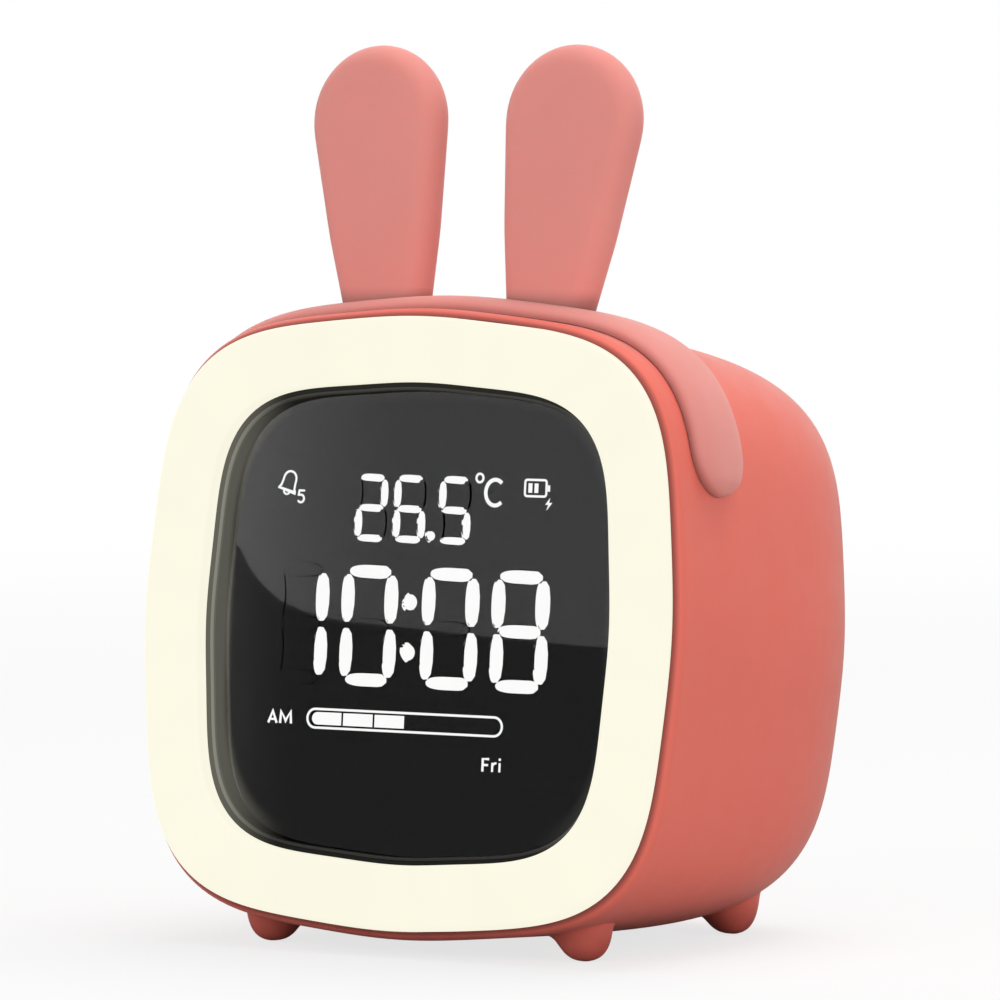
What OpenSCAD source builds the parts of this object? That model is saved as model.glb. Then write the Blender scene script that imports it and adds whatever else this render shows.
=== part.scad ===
// Kids alarm clock with a night light ring and a pull-off silicone headband with ears.
// Row frame: X to the right of the face, Y into the case, Z up, origin on the table
// under the middle of the clock. Case frame: the same, leaned back about X by case_tilt,
// with Y counted as depth behind the front of the diffuser ring and Z from the face centre.

/* [Case] */
// Width and height of the case section at its front
case_w = 101; // [96:0.1:110]
// Depth from the front of the diffuser ring to the rear of the case
case_depth = 76; // [70:1:90]
// Wall thickness of the moulded case
case_wall = 2.2; // [1.8:0.1:2.6]
// How far the face leans back, in degrees
case_tilt = 5; // [0:0.5:8]
// Squareness of the section at the front, as a superellipse power
front_power = 3.5; // [3:0.1:4.5]
// Squareness of the section at the rear
rear_power = 3.45; // [3:0.1:3.6]
// How far the rear edge curves in
rear_round = 26; // [20:1:28]
// Squareness of the rear edge's curve
rear_round_power = 4.1; // [3:0.1:4.4]
// Draft of the sides, in mm per mm of depth
side_draft = 0.018; // [0:0.001:0.04]
// Radius of the case's front lip
lip_round = 2.4; // [2:0.1:3]
// How far the lip stands behind the front of the diffuser ring
lip_set = 1.2; // [0.6:0.1:1.4]
// Width of the lip round the ring
lip_w = 1.35; // [1.2:0.05:2]

/* [Feet] */
// Gap between the table and the case under the face
case_lift = 2.8; // [2.4:0.05:5]
// Distance from the case's widest side in to each foot
foot_in = 21; // [18:0.25:26]
// Depth of the front feet behind the face centre
foot_front = 8.5; // [5:0.1:12]
// Distance from the rear of the case forward to the rear feet
foot_rear_in = 20.1; // [16:0.1:28]
// Radius of a foot
foot_r = 4.2; // [3.8:0.1:5]
// Radius of the flat that a foot stands on
foot_flat_r = 1.5; // [1:0.1:2.6]

/* [Diffuser ring] */
// Width of the ring's face, from its outer edge to the window opening
ring_face_w = 10.5; // [9:0.1:12]
// Thickness of the ring's front plate
ring_t = 2; // [1.6:0.1:2.4]
// Wall thickness of the ring's outer skirt
ring_skirt_t = 1.4; // [1.2:0.1:1.6]
// Depth at which the outer skirt ends
ring_depth = 7.1; // [6.5:0.1:8]
// Radius of the ring's outer edge
ring_edge_r = 0.9; // [0.5:0.1:1.2]
// Squareness of the window opening
window_power = 3.9; // [3.6:0.1:4.4]

/* [Window] */
// Depth of the window's surface behind the front of the ring
window_set = 3.5; // [3:0.1:4]
// Thickness of the smoked window
window_t = 1.2; // [1:0.1:1.6]
// Width of the bezel's visible rim
bezel_w = 1.3; // [1:0.1:1.6]
// Wall thickness of the bezel's rim
bezel_wall = 1.1; // [0.9:0.1:1.3]
// How far the window's edge reaches behind the bezel
window_overlap = 2.8; // [2:0.1:3]

/* [Digits] */
// Gap between the digit block's sides and the window's seat
block_side_gap = 5.4; // [5:0.1:9]
// Gap between the digit block's top and the window's seat
block_top_gap = 11.4; // [11:0.1:14]
// Thickness of the black mask round the digit block
mask_t = 0.8; // [0.6:0.1:1.2]
// Height of a time digit
digit_h = 19.7; // [16:0.1:20]
// Width of a time digit
digit_w = 10.6; // [10:0.1:12]
// Stroke width of a time digit
digit_stroke = 2.35; // [1.8:0.05:2.6]
// Sideways step from one time digit to the next
digit_pitch = 13.05; // [12.6:0.05:13.4]
// Extra step where the colon stands
colon_step = 2.2; // [2:0.1:3]
// Height of the time digits' middle above the face centre
digit_v = -0.6; // [-3:0.1:1]
// Sideways place of the colon
colon_x = -1.2; // [-2:0.1:2]
// Height of a temperature digit
degree_h = 11; // [9:0.1:11.4]
// Width of a temperature digit
degree_w = 6; // [5.6:0.1:6.8]
// Stroke width of a temperature digit
degree_stroke = 1.3; // [1:0.1:1.4]
// Sideways step from one temperature digit to the next
degree_pitch = 7.2; // [7:0.05:7.6]
// Height of the temperature digits' middle above the face centre
degree_v = 18.3; // [17:0.1:19]
// Sideways place of the middle temperature digit
degree_x = -2.1; // [-3:0.1:1]
// Extra step where the decimal point stands
point_step = 1.25; // [1:0.05:2]
// Length of the progress bar
bar_w = 35.6; // [30:0.2:40]
// Height of the progress bar's middle
bar_v = -15.8; // [-17:0.1:-14]
// Height of the progress bar
bar_h = 2.1; // [1.6:0.1:3]
// Cells in the progress bar
bar_cells = 6; // [4:1:10]

/* [Front frame] */
// Thickness of the frame's plate
frame_t = 2; // [1.6:0.1:2.4]
// Wall thickness of the frame's light chamber
chamber_wall = 1.2; // [1:0.1:1.6]
// Depth of the light chamber's floor board
light_board_set = 10.9; // [10.2:0.1:12]
// Length of the frame's rear bosses
frame_boss_l = 6; // [5:0.5:8]
// Radius of the frame's rear bosses
frame_boss_r = 3.2; // [3:0.1:3.6]
// Distance of the frame's bosses in from its corners, sideways and upwards
frame_boss_in = 5.4; // [5.2:0.1:6.2]
// Thickness of the case's lugs behind those bosses
lug_t = 3; // [2.5:0.1:4]

/* [Boards] */
// Thickness of the circuit boards
board_t = 1.6; // [1.2:0.1:1.8]
// Thickness of the light board
light_board_t = 1; // [0.8:0.1:1.2]
// Number of light emitting chips round the ring
led_count = 24; // [16:4:32]
// How far the display board stands out past the digit block's sides
display_board_side = 2; // [1:0.1:2.5]
// How far the display board stands out past the digit block's top
display_board_top = 4.5; // [4:0.1:5]
// Length of the posts that carry the main board
board_post_l = 8.4; // [8:0.1:10]
// Gap between the main board's sides and the opening in the case
main_board_gap = 3.6; // [2.6:0.1:6]

/* [Rear cover] */
// Distance from the case's widest side in to the rear cover
cover_in = 17.5; // [16.5:0.25:18.5]
// Thickness of the rear cover
cover_t = 2.2; // [2:0.1:2.6]
// Squareness of the rear cover
cover_power = 3.4; // [3.2:0.1:3.8]
// Gap round the rear cover
cover_gap = 0.3; // [0.2:0.05:0.4]
// Width of the ledge that the cover rests on
ledge_w = 2.4; // [2:0.1:3]
// Thickness of that ledge
ledge_t = 2; // [1.6:0.1:2.4]
// Distance of the cover's screws in from its corners, sideways and upwards
cover_screw_in = 2.6; // [2.4:0.1:3.2]

/* [Buttons] */
// Radius of a button's cap
button_r = 3.9; // [3.4:0.1:4.2]
// How far a cap stands out of the cover
button_proud = 1; // [0.8:0.1:1.4]
// Travel of a button
button_travel = 0.6; // [0.4:0.05:0.7]
// Sideways step between the buttons
button_pitch = 12; // [11.4:0.1:12.6]
// Gap between the buttons' flanges and the speaker's wall
button_drop = 2.45; // [1:0.05:3]
// Gap round a cap
button_gap = 0.3; // [0.25:0.05:0.4]

/* [Charging socket] */
// Width of the socket's shell
usb_w = 9.2; // [9:0.1:9.6]
// Height of the socket's shell
usb_h = 3.5; // [3.3:0.1:3.8]
// Gap between the socket and the buttons' flanges
usb_drop = 4.25; // [3:0.05:5]

/* [Speaker] */
// Radius of the speaker's frame
speaker_r = 13.6; // [12:0.1:13.8]
// Gap between the speaker's wall and the ledge in the case
speaker_gap = 2.25; // [1.5:0.05:3]
// Radius of a hole in the grille
grille_hole_r = 0.8; // [0.6:0.1:1]
// Rings of holes in the grille
grille_rings = 4; // [2:1:4]

/* [Battery] */
// Width of the battery cell
cell_w = 50; // [40:1:52]
// Height of the battery cell
cell_h = 34; // [28:1:36]
// Thickness of the battery cell
cell_t = 7; // [5:0.5:9]
// Thickness of the foam pad under it
pad_t = 1; // [0.6:0.1:1.5]

/* [Headband] */
// Width of the band across the case
band_w = 15; // [12:0.2:17]
// Thickness of the band
band_t = 2.5; // [2:0.1:4]
// Depth of the band's middle line
band_set = 15; // [13:0.1:16]
// How far the band's arms reach down from the top of the case
arm_drop = 27.8; // [24:0.05:34]
// Gap between the band and the case
band_gap = 0.3; // [0.2:0.05:0.4]

/* [Ears] */
// Height of the ears' tips above the top of the case
ear_rise = 43.35; // [36:0.05:50]
// Radius of an ear's round top
ear_r = 12.3; // [10:0.05:13]
// Radius of an ear's foot
ear_root_r = 7; // [6:0.1:8]
// Thickness of an ear
ear_t = 7.2; // [6:0.1:8]
// Sideways place of an ear's foot
ear_root_x = 15.05; // [14:0.05:17]
// How far an ear leans outwards, in degrees
ear_lean = 5.5; // [2:0.1:8]
// Depth of the ears' middle plane
ear_set = 16.8; // [14:0.1:17]

/* [Screws] */
// Shank radius of the large screws
screw_r = 1.3; // [1.1:0.05:1.5]
// Shank length of the large screws
screw_l = 6; // [5:0.5:6.5]
// Shank radius of the small screws
small_screw_r = 0.9; // [0.8:0.05:1.05]
// Shank length of the small screws
small_screw_l = 4; // [3:0.5:4.5]

/* [Hidden] */

$fn = 40;
// points round each lofted section
section_steps = 72;
// how much the sections draw in between their middles and corners
easing = 0.008;
// small clearance between parts that are assembled
fit = 0.15;
// gap between flat faces that rest on each other
touch = 0.05;
// overshoot of a cutting tool
over = 1;

// case
half_w = case_w / 2;
face_h = case_lift + half_w * cos(case_tilt);
inner_round = rear_round - case_wall;
inner_depth = case_depth - case_wall;
inner_half = half_w - case_wall;
ring_seat = half_w - lip_w;
ring_half = ring_seat - fit;
seat_depth = ring_depth + touch;
lip_from = asin(1 - lip_w / lip_round);

// rear cover and the collar that it lies in
cover_sunk = 0.1;
cover_half = half_w - cover_in;
opening_half = cover_half + cover_gap;
ledge_half = cover_half - ledge_w;
collar_half = opening_half + case_wall;
opening_rise = 1 - (half_w - side_draft * case_depth - opening_half) / rear_round;
opening_depth = case_depth * pow(1 - pow(opening_rise, rear_round_power), 1 / rear_round_power);
cover_front = opening_depth - cover_t - cover_sunk;
cover_rear = cover_front + cover_t;
ledge_depth = cover_front - touch;
collar_front = ledge_depth - ledge_t;
collar_rise = 1 - (inner_half - side_draft * inner_depth - collar_half) / inner_round;

// front parts
window_half = ring_half - ring_face_w;
skirt_inner = ring_half - ring_skirt_t;
lens_half = window_half - bezel_w + window_overlap;
flange_t = 0.7;
flange_front = window_set - flange_t;
rim_inner = lens_half + fit;
rim_outer = rim_inner + bezel_wall;
window_front = window_set + touch;
window_rear = window_front + window_t;
inner_skirt_t = 1.2;
frame_front = light_board_set + light_board_t;
frame_rear = frame_front + frame_t;
frame_half = skirt_inner - 2 * fit;
chamber_gap = 2;
chamber_front = ring_t + chamber_gap;
press_half = lens_half;
press_wall = 1.6;
press_inner = press_half - press_wall;
light_board_outer = frame_half - chamber_wall - fit;
light_board_inner = press_half + 2 * fit;
frame_boss_at = corner(frame_half, front_power) - frame_boss_in;

// digit block and display board
block_front = window_rear + 2 * fit;
block_rear = frame_rear;
block_w = 2 * (press_inner - block_side_gap);
block_h = 2 * (press_inner - block_top_gap);
display_board_w = block_w + 2 * display_board_side;
display_board_h = block_h + 2 * display_board_top;
display_board_front = frame_rear;
display_board_rear = display_board_front + board_t;
display_screw_in = 5;
display_screw_x = block_w / 2 - display_screw_in;
display_screw_v = (block_h + display_board_h) / 4 + 0.2;
frame_boss_rear = frame_rear + frame_boss_l;

// speaker, buttons and socket, from the top of the cover down
locating_wall = 1.2;
locating_l = 3;
speaker_wall_r = speaker_r + fit + locating_wall;
speaker_v = ledge_half - speaker_gap - speaker_wall_r;
button_flange_r = button_r + 1.1;
button_flange_t = 0.8;
button_v = speaker_v - speaker_wall_r - button_drop - button_flange_r;
usb_v = button_v - button_flange_r - usb_drop - usb_h / 2;
cover_boss_r = 3.3;
cover_screw_at = corner(cover_half, cover_power) - cover_screw_in;

// main board
board_rear = cover_front - board_post_l;
board_front = board_rear - board_t;
main_board_half = ledge_half - main_board_gap;
board_top = button_v + 8;
board_step = cover_boss_r + 0.5 - cover_screw_at;
board_low = main_board_gap - 1 - ledge_half;
board_narrow_half = cover_screw_at - cover_boss_r - 1;
post_r = 2.2;
post_in = post_r + 0.2;
post_top = [main_board_half - post_in, board_top - 3];
post_low = [14, board_low + post_in + 0.2];
switch_w = 6;
switch_h = 3.2;
plunger_r = 1.7;
plunger_h = 1.2;
plunger_rear = board_rear + switch_h + plunger_h;
stem_front = plunger_rear + button_travel + 2 * touch;
button_names = ["set", "up", "down", "light"];

// speaker
grille_r = speaker_r - 0.6;
grille_flange_t = 0.8;
speaker_rear = cover_front - grille_flange_t - touch;
speaker_rim_t = 1.2;
basket_depth = 3.6;
magnet_depth = 3;

// headband
arm_end_v = half_w - arm_drop;
ear_top = half_w + ear_rise;
deg_per_mm = 180 / (PI * norm([half_w, arm_end_v]));
arm_angle = atan2(arm_end_v, half_w);

// feet
foot_x = half_w - foot_in;
foot_rear = case_depth - foot_rear_in;

// screws
head_h = 1.2;
head_r = 2.3;
small_head_h = 0.9;
small_head_r = 1.6;
pilot_gap = 0.03;
screw_hole_gap = 0.2;

// ---- sections ----

// radius of a superellipse of half-width 1 in the direction a
function super_r(a, power) =
    pow(pow(abs(cos(a)), power) + pow(abs(sin(a)), power), -1 / power);

// how far the corner of a superellipse stands off its middle lines
function corner(half, power) = half * super_r(45, power) * cos(45);

// the same for the case's sections, eased a little between the middles and the corners
function squircle_r(a, power) = super_r(a, power) * (1 - easing * (1 - cos(8 * a)));

function squircle(half, power, steps = section_steps) =
    [for (i = [0 : steps - 1]) let (a = 360 * i / steps)
        half * squircle_r(a, power) * [cos(a), sin(a)]];

// one station of a loft: [half-width, depth, power]
function section(station) =
    [for (p = squircle(station[0], station[2])) [p[0], station[1], p[1]]];

function section_power(depth) =
    front_power + (rear_power - front_power) * depth / case_depth;

// triangles that join ring after ring; a loop also joins the last ring to the first
function skin(rings, steps, loop = true) =
    [for (j = [0 : rings - (loop ? 1 : 2)], i = [0 : steps - 1])
        let (a = j * steps + i,
             b = j * steps + (i + 1) % steps,
             c = ((j + 1) % rings) * steps + (i + 1) % steps,
             d = ((j + 1) % rings) * steps + i)
        each [[a, b, c], [a, c, d]]];

function cap_start(steps) = [for (i = [1 : steps - 2]) [0, i + 1, i]];
function cap_end(rings, steps) =
    let (first = (rings - 1) * steps)
    [for (i = [1 : steps - 2]) [first, first + i, first + i + 1]];

function join(lists) = [for (list = lists) each list];

// a hollow ring lofted through a closed chain of stations
module loft_loop(stations)
    polyhedron(join([for (s = stations) section(s)]), skin(len(stations), section_steps));

// ---- case skin ----

// a station on the rear curve, at the angle b of its own superellipse
function curve_station(b, half, depth, round_in) =
    let (r = super_r(b, rear_round_power),
         s = depth * r * cos(b))
    [half - side_draft * s - round_in * (1 - r * sin(b)), s, section_power(s)];

function curve(b0, b1, steps, half, depth, round_in) =
    [for (i = [0 : steps]) curve_station(b0 + (b1 - b0) * i / steps, half, depth, round_in)];

function curve_angle(depth, total) = atan2(1, depth / total);

function rise_angle(rise) =
    atan2(rise, pow(1 - pow(rise, rear_round_power), 1 / rear_round_power));

lip = [for (i = [0 : 4]) let (a = lip_from + (90 - lip_from) * i / 5)
    [half_w - lip_round * (1 - sin(a)), lip_set + lip_round * (1 - cos(a)), front_power]];
outer_skin = curve(curve_angle(lip_set + lip_round, case_depth), rise_angle(opening_rise), 13,
                   half_w, case_depth, rear_round);
collar = [[opening_half, ledge_depth, cover_power],
          [ledge_half, ledge_depth, cover_power],
          [ledge_half, collar_front, cover_power],
          [collar_half, collar_front, cover_power]];
inner_skin = curve(rise_angle(collar_rise), curve_angle(seat_depth, inner_depth), 10,
                   inner_half, inner_depth, inner_round);
ring_rebate = [[ring_seat, seat_depth, front_power],
               [ring_seat, lip[0][1], front_power]];

// front and rear reach of the clock, which set the row frame's origin
front_y = -(ring_half - ring_edge_r) * sin(case_tilt);
rear_y = max([for (s = outer_skin) s[1] * cos(case_tilt) + s[0] * sin(case_tilt)]);
case_y = -(front_y + rear_y) / 2;

// half-width of the outer skin at a depth
function case_half(depth) =
    half_w - side_draft * depth
    - rear_round * (1 - pow(1 - pow(depth / case_depth, rear_round_power), 1 / rear_round_power));

// distance from the case's middle line down to its underside at x
function underside(x, depth) =
    let (h = case_half(depth), n = section_power(depth), a = section_angle(x / h, n))
    h * squircle_r(a, n) * sin(a);

// direction in which a section of half-width 1 stands x off the middle, by repeated guesses
function section_angle(x, power, guess = 60, rounds = 12) =
    rounds == 0 ? guess
    : section_angle(x, power, acos(x / squircle_r(guess, power)), rounds - 1);

// ---- placing ----

module in_case() translate([0, case_y, face_h]) rotate([-case_tilt, 0, 0]) children();

// a flat plate between two depths, from a 2D outline seen from the front
module plate(front, rear)
    translate([0, rear, 0]) rotate([90, 0, 0]) linear_extrude(rear - front) children();

// a round post, or the tool for a hole, between two depths
module post(at, front, rear, r)
    translate([at[0], rear, at[1]]) rotate([90, 0, 0]) cylinder(h = rear - front, r = r);

// something turned about the depth axis, its own Z becoming depth
module turned(at, depth) translate([at[0], depth, at[1]]) rotate([-90, 0, 0]) children();

module block(x0, x1, front, rear, v0, v1)
    translate([x0, front, v0]) cube([x1 - x0, rear - front, v1 - v0]);

module at_corners(d) for (x = [-d, d], v = [-d, d]) translate([x, 0, v]) children();

// a pan-head screw driven forwards, its head's underside at the depth seat
module screw(at, seat, r, length, top_r, top_h) {
    post(at, seat - length, seat + top_h / 2, r);
    post(at, seat, seat + top_h, top_r);
}

// ---- outer shell ----

function foot_depth(y) = (y + half_w * sin(case_tilt)) / cos(case_tilt);

// height of the case's underside above the table, over a foot
function foot_reach(y) =
    let (depth = foot_depth(y))
    face_h - underside(foot_x, depth) * cos(case_tilt) - depth * sin(case_tilt);

// a moulded nub foot that flares into the case's underside
module foot(reach) {
    round_r = foot_r - foot_flat_r;
    toe_h = reach * 0.8;
    flare = 0.9;
    top = reach + case_wall / 2;
    arc_steps = 7;
    toe = [for (i = [0 : arc_steps]) let (a = 90 * i / arc_steps)
        [foot_flat_r + round_r * sin(a), toe_h * (1 - cos(a))]];
    rotate_extrude() polygon(join([[[0, 0]], toe,
        [[foot_r + flare / 3, reach * 0.92], [foot_r + flare, top], [0, top]]]));
}

// a corner lug with a rib back into the case's corner
module lugs() {
    reach = (inner_half + case_wall / 2) * squircle_r(45, front_power);
    for (turn = [0 : 90 : 270]) rotate([0, turn, 0]) difference() {
        union() {
            post([frame_boss_at, frame_boss_at], lug_front(), lug_front() + lug_t, frame_boss_r);
            rotate([0, -45, 0])
                block(norm([frame_boss_at, frame_boss_at]), reach, lug_front(),
                      lug_front() + lug_t, -frame_boss_r, frame_boss_r);
        }
        post([frame_boss_at, frame_boss_at], 0, case_depth, screw_r + screw_hole_gap);
    }
}
function lug_front() = frame_boss_rear + touch;

module cover_bosses()
    at_corners(cover_screw_at)
        post([0, 0], ledge_depth - screw_l - over, ledge_depth, cover_boss_r);

module outer_shell() color([0.87, 0.46, 0.41]) {
    in_case() {
        difference() {
            union() {
                loft_loop(join([lip, outer_skin, collar, inner_skin, ring_rebate]));
                cover_bosses();
            }
            at_corners(cover_screw_at)
                post([0, 0], ledge_depth - screw_l, case_depth, screw_r + pilot_gap);
        }
        lugs();
    }
    for (x = [-foot_x, foot_x], y = [foot_front, foot_rear])
        translate([x, case_y + y, 0]) foot(foot_reach(y));
}

// ---- front parts ----

module diffuser_ring() color([1, 0.99, 0.91]) in_case() {
    inner_r = 0.5;
    inner_end = flange_front - fit;
    skirt = window_half + inner_skirt_t;
    inner_edge = [for (a = [0 : 45 : 90])
        [window_half + inner_r * (1 - cos(a)), inner_r * (1 - sin(a)), window_power]];
    outer_edge = [for (a = [0 : 22.5 : 90])
        [ring_half - ring_edge_r * (1 - sin(a)), ring_edge_r * (1 - cos(a)), front_power]];
    loft_loop(join([inner_edge, outer_edge,
        [[ring_half, ring_depth, front_power], [skirt_inner, ring_depth, front_power],
         [skirt_inner, ring_t, front_power], [skirt, ring_t, window_power],
         [skirt, inner_end, window_power], [window_half, inner_end, window_power]]]));
}

module window_bezel() color([0.1, 0.1, 0.1]) in_case() {
    rim_r = 0.5;
    opening = window_half - bezel_w;
    rim = [for (a = [0 : 30 : 90])
        [opening + rim_r * (1 - cos(a)), flange_front + rim_r * (1 - sin(a)), window_power]];
    loft_loop(join([[[opening, window_set, window_power]], rim,
        [[rim_outer, flange_front, window_power], [rim_outer, window_rear, window_power],
         [rim_inner, window_rear, window_power], [rim_inner, window_set, window_power]]]));
}

module display_window() color([0.16, 0.16, 0.17]) in_case()
    plate(window_front, window_rear) polygon(squircle(lens_half, window_power));

// ---- digits ----

// a lens-shaped bar
module segment(length, stroke) {
    steps = 12;
    lens_power = 2.7;
    polygon([for (i = [0 : steps - 1]) let (a = 360 * (i + 0.5) / steps)
        super_r(a, lens_power) * [length / 2 * cos(a), stroke / 2 * sin(a)]]);
}

// the seven segments of one digit, each grown by extra on every side
module digit(w, h, stroke, extra) {
    across = w - stroke * 1.3 + 2 * extra;
    rise = (h - stroke) / 2;
    upright = rise - stroke * 0.45 + 2 * extra;
    thick = stroke + 2 * extra;
    for (v = [-1 : 1]) translate([0, v * rise]) segment(across, thick);
    for (x = [-1, 1], v = [-1, 1])
        translate([x * (w - stroke) / 2, v * rise / 2]) rotate(90) segment(upright, thick);
}

function digit_x(i) = colon_x + (i - 1.5) * digit_pitch + (i < 2 ? -1 : 1) * colon_step / 2;

// outline of every lit area, grown by extra on each side
module segments(extra = 0) {
    dot_r = digit_stroke * 0.52;
    dot_rise = digit_h / 4.9;
    point_r = degree_stroke * 0.55;
    point_drop = degree_h * 0.38;
    bar_gap = 0.4;
    for (i = [0 : 3]) translate([digit_x(i), digit_v])
        digit(digit_w, digit_h, digit_stroke, extra);
    for (v = [-1, 1]) translate([colon_x, digit_v + v * dot_rise])
        circle(r = dot_r + extra, $fn = 16);
    for (i = [0 : 2])
        translate([degree_x + (i - 1) * degree_pitch + (i == 2 ? point_step : 0), degree_v])
            digit(degree_w, degree_h, degree_stroke, extra);
    translate([degree_x + (degree_pitch + point_step) / 2, degree_v - point_drop])
        circle(r = point_r + extra, $fn = 12);
    for (i = [0 : bar_cells - 1])
        translate([colon_x + bar_w * ((i + 0.5) / bar_cells - 0.5), bar_v])
            square([bar_w / bar_cells - bar_gap + 2 * extra, bar_h + 2 * extra], center = true);
}

cell_depth = 3.5;

module digit_block() color([0.07, 0.07, 0.07]) in_case() difference() {
    union() {
        plate(block_front, block_rear) square([block_w, block_h], center = true);
        plate(block_front, block_front + mask_t)
            polygon(squircle(press_inner - fit, window_power));
    }
    plate(block_front - over, block_front + cell_depth) segments(touch);
}

module digit_segments() color([0.95, 0.95, 0.97]) in_case()
    plate(block_front, block_front + cell_depth) segments();

module display_board() color([0.12, 0.34, 0.2]) in_case() difference() {
    plate(display_board_front, display_board_rear)
        square([display_board_w, display_board_h], center = true);
    at_corners(frame_boss_at)
        post([0, 0], display_board_front - over, display_board_rear + over, frame_boss_r + 0.6);
    display_screws() post([0, 0], display_board_front - over, display_board_rear + over,
                          small_screw_r + screw_hole_gap);
}

module display_screws()
    for (x = [-1, 1], v = [-1, 1])
        translate([x * display_screw_x, 0, v * display_screw_v]) children();

module display_board_screws() color("silver") in_case() display_screws()
    screw([0, 0], display_board_rear, small_screw_r, small_screw_l, small_head_r, small_head_h);

// ---- frame and night light ----

module front_frame() color("white") in_case() {
    boss_r = small_screw_r + 1;
    boss_front = frame_front - 1.6;
    difference() {
        union() {
            plate(frame_front, frame_rear) polygon(squircle(frame_half, front_power));
            difference() {
                plate(chamber_front, frame_front) polygon(squircle(frame_half, front_power));
                plate(chamber_front - over, frame_front)
                    polygon(squircle(frame_half - chamber_wall, front_power));
            }
            difference() {
                plate(window_rear + touch, frame_front)
                    polygon(squircle(press_half, window_power));
                plate(window_rear, frame_front) polygon(squircle(press_inner, window_power));
            }
            display_screws() post([0, 0], boss_front, frame_front, boss_r);
            at_corners(frame_boss_at) post([0, 0], frame_rear, frame_boss_rear, frame_boss_r);
        }
        plate(frame_front - over, frame_rear + over)
            square([block_w + 2 * fit, block_h + 2 * fit], center = true);
        display_screws()
            post([0, 0], display_board_rear - small_screw_l - pilot_gap, frame_rear + over,
                 small_screw_r + pilot_gap);
        at_corners(frame_boss_at)
            post([0, 0], frame_boss_rear + lug_t - screw_l - 2 * touch, frame_boss_rear + over,
                 screw_r + pilot_gap);
    }
}

module front_frame_screws() color("silver") in_case() at_corners(frame_boss_at)
    screw([0, 0], lug_front() + lug_t, screw_r, screw_l, head_r, head_h);

module light_board() color([0.93, 0.93, 0.9]) in_case() difference() {
    plate(light_board_set, frame_front) polygon(squircle(light_board_outer, front_power));
    plate(light_board_set - over, frame_front + over)
        polygon(squircle(light_board_inner, window_power));
}

module light_leds() color([1, 0.9, 0.55]) in_case() {
    chip = [3.2, 2.4, 0.9];
    middle = (light_board_outer + light_board_inner) / 2;
    middle_power = (front_power + window_power) / 2;
    for (i = [0 : led_count - 1]) {
        a = 360 * (i + 0.5) / led_count;
        at = middle * squircle_r(a, middle_power) * [cos(a), sin(a)];
        turn = atan2(sin(a) * pow(abs(sin(a)), middle_power - 2),
                     cos(a) * pow(abs(cos(a)), middle_power - 2));
        plate(light_board_set - chip[2], light_board_set)
            translate(at) rotate(turn + 90) square([chip[0], chip[1]], center = true);
    }
}

// ---- battery ----

pad_rear = display_board_rear + pad_t;
cell_rear = pad_rear + cell_t;

module battery_pad() color([0.85, 0.85, 0.82]) in_case()
    plate(display_board_rear, pad_rear) square([cell_w * 0.7, cell_h * 0.8], center = true);

module battery_cell() color([0.72, 0.75, 0.8]) in_case() {
    side = (cell_w - cell_t) / 2;
    block(-side, side, pad_rear, cell_rear, -cell_h / 2, cell_h / 2);
    for (x = [-side, side]) translate([x, pad_rear + cell_t / 2, -cell_h / 2])
        cylinder(h = cell_h, r = cell_t / 2);
}

function bezier(p, t) =
    pow(1 - t, 3) * p[0] + 3 * t * pow(1 - t, 2) * p[1]
    + 3 * t * t * (1 - t) * p[2] + pow(t, 3) * p[3];
function bezier_way(p, t) =
    let (v = pow(1 - t, 2) * (p[1] - p[0]) + 2 * t * (1 - t) * (p[2] - p[1])
             + t * t * (p[3] - p[2]))
    v / norm(v);

// a round wire along a curve
module wire(p, r, steps = 14, sides = 8) {
    points = [for (j = [0 : steps], i = [0 : sides - 1])
        let (t = j / steps, way = bezier_way(p, t), across = cross(way, [1, 0, 0]),
             n = across / norm(across), b = cross(way, n), a = 360 * i / sides)
        bezier(p, t) + r * (cos(a) * n + sin(a) * b)];
    polyhedron(points, join([skin(steps + 1, sides, false), cap_start(sides),
                             cap_end(steps + 1, sides)]));
}

plug_size = [7, 4.5, 4];
plug_in = [7.5, 6];
plug_at = [main_board_half - plug_in[0], board_top - plug_in[1]];
plug_front = board_front - plug_size[1];
wire_r = 0.6;
wire_step = 1.8;

module battery_lead() color([0.75, 0.1, 0.1]) in_case() {
    s = pad_rear + cell_t / 2;
    rise = 11;
    exit_x = cell_w / 2 - cell_t - 1.3;
    for (x = [-wire_step / 2, wire_step / 2])
        wire([[exit_x + x, s, cell_h / 2 + touch], [exit_x + x, s, cell_h / 2 + rise],
              [plug_at[0] + x, plug_front - rise, plug_at[1]],
              [plug_at[0] + x, plug_front - touch, plug_at[1]]], wire_r);
}

// ---- rear cover ----

module cover_screws() at_corners(cover_screw_at) children();

module board_posts()
    for (x = [-1, 1], at = [post_top, post_low]) translate([x * at[0], 0, at[1]]) children();

module usb_outline(extra = 0) {
    r = usb_h / 2 + extra;
    square([usb_w - usb_h, 2 * r], center = true);
    for (x = [-1, 1]) translate([x * (usb_w - usb_h) / 2, 0]) circle(r);
}

function button_x(i) = (i - (len(button_names) - 1) / 2) * button_pitch;

head_sink = head_h + 0.1;

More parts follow.
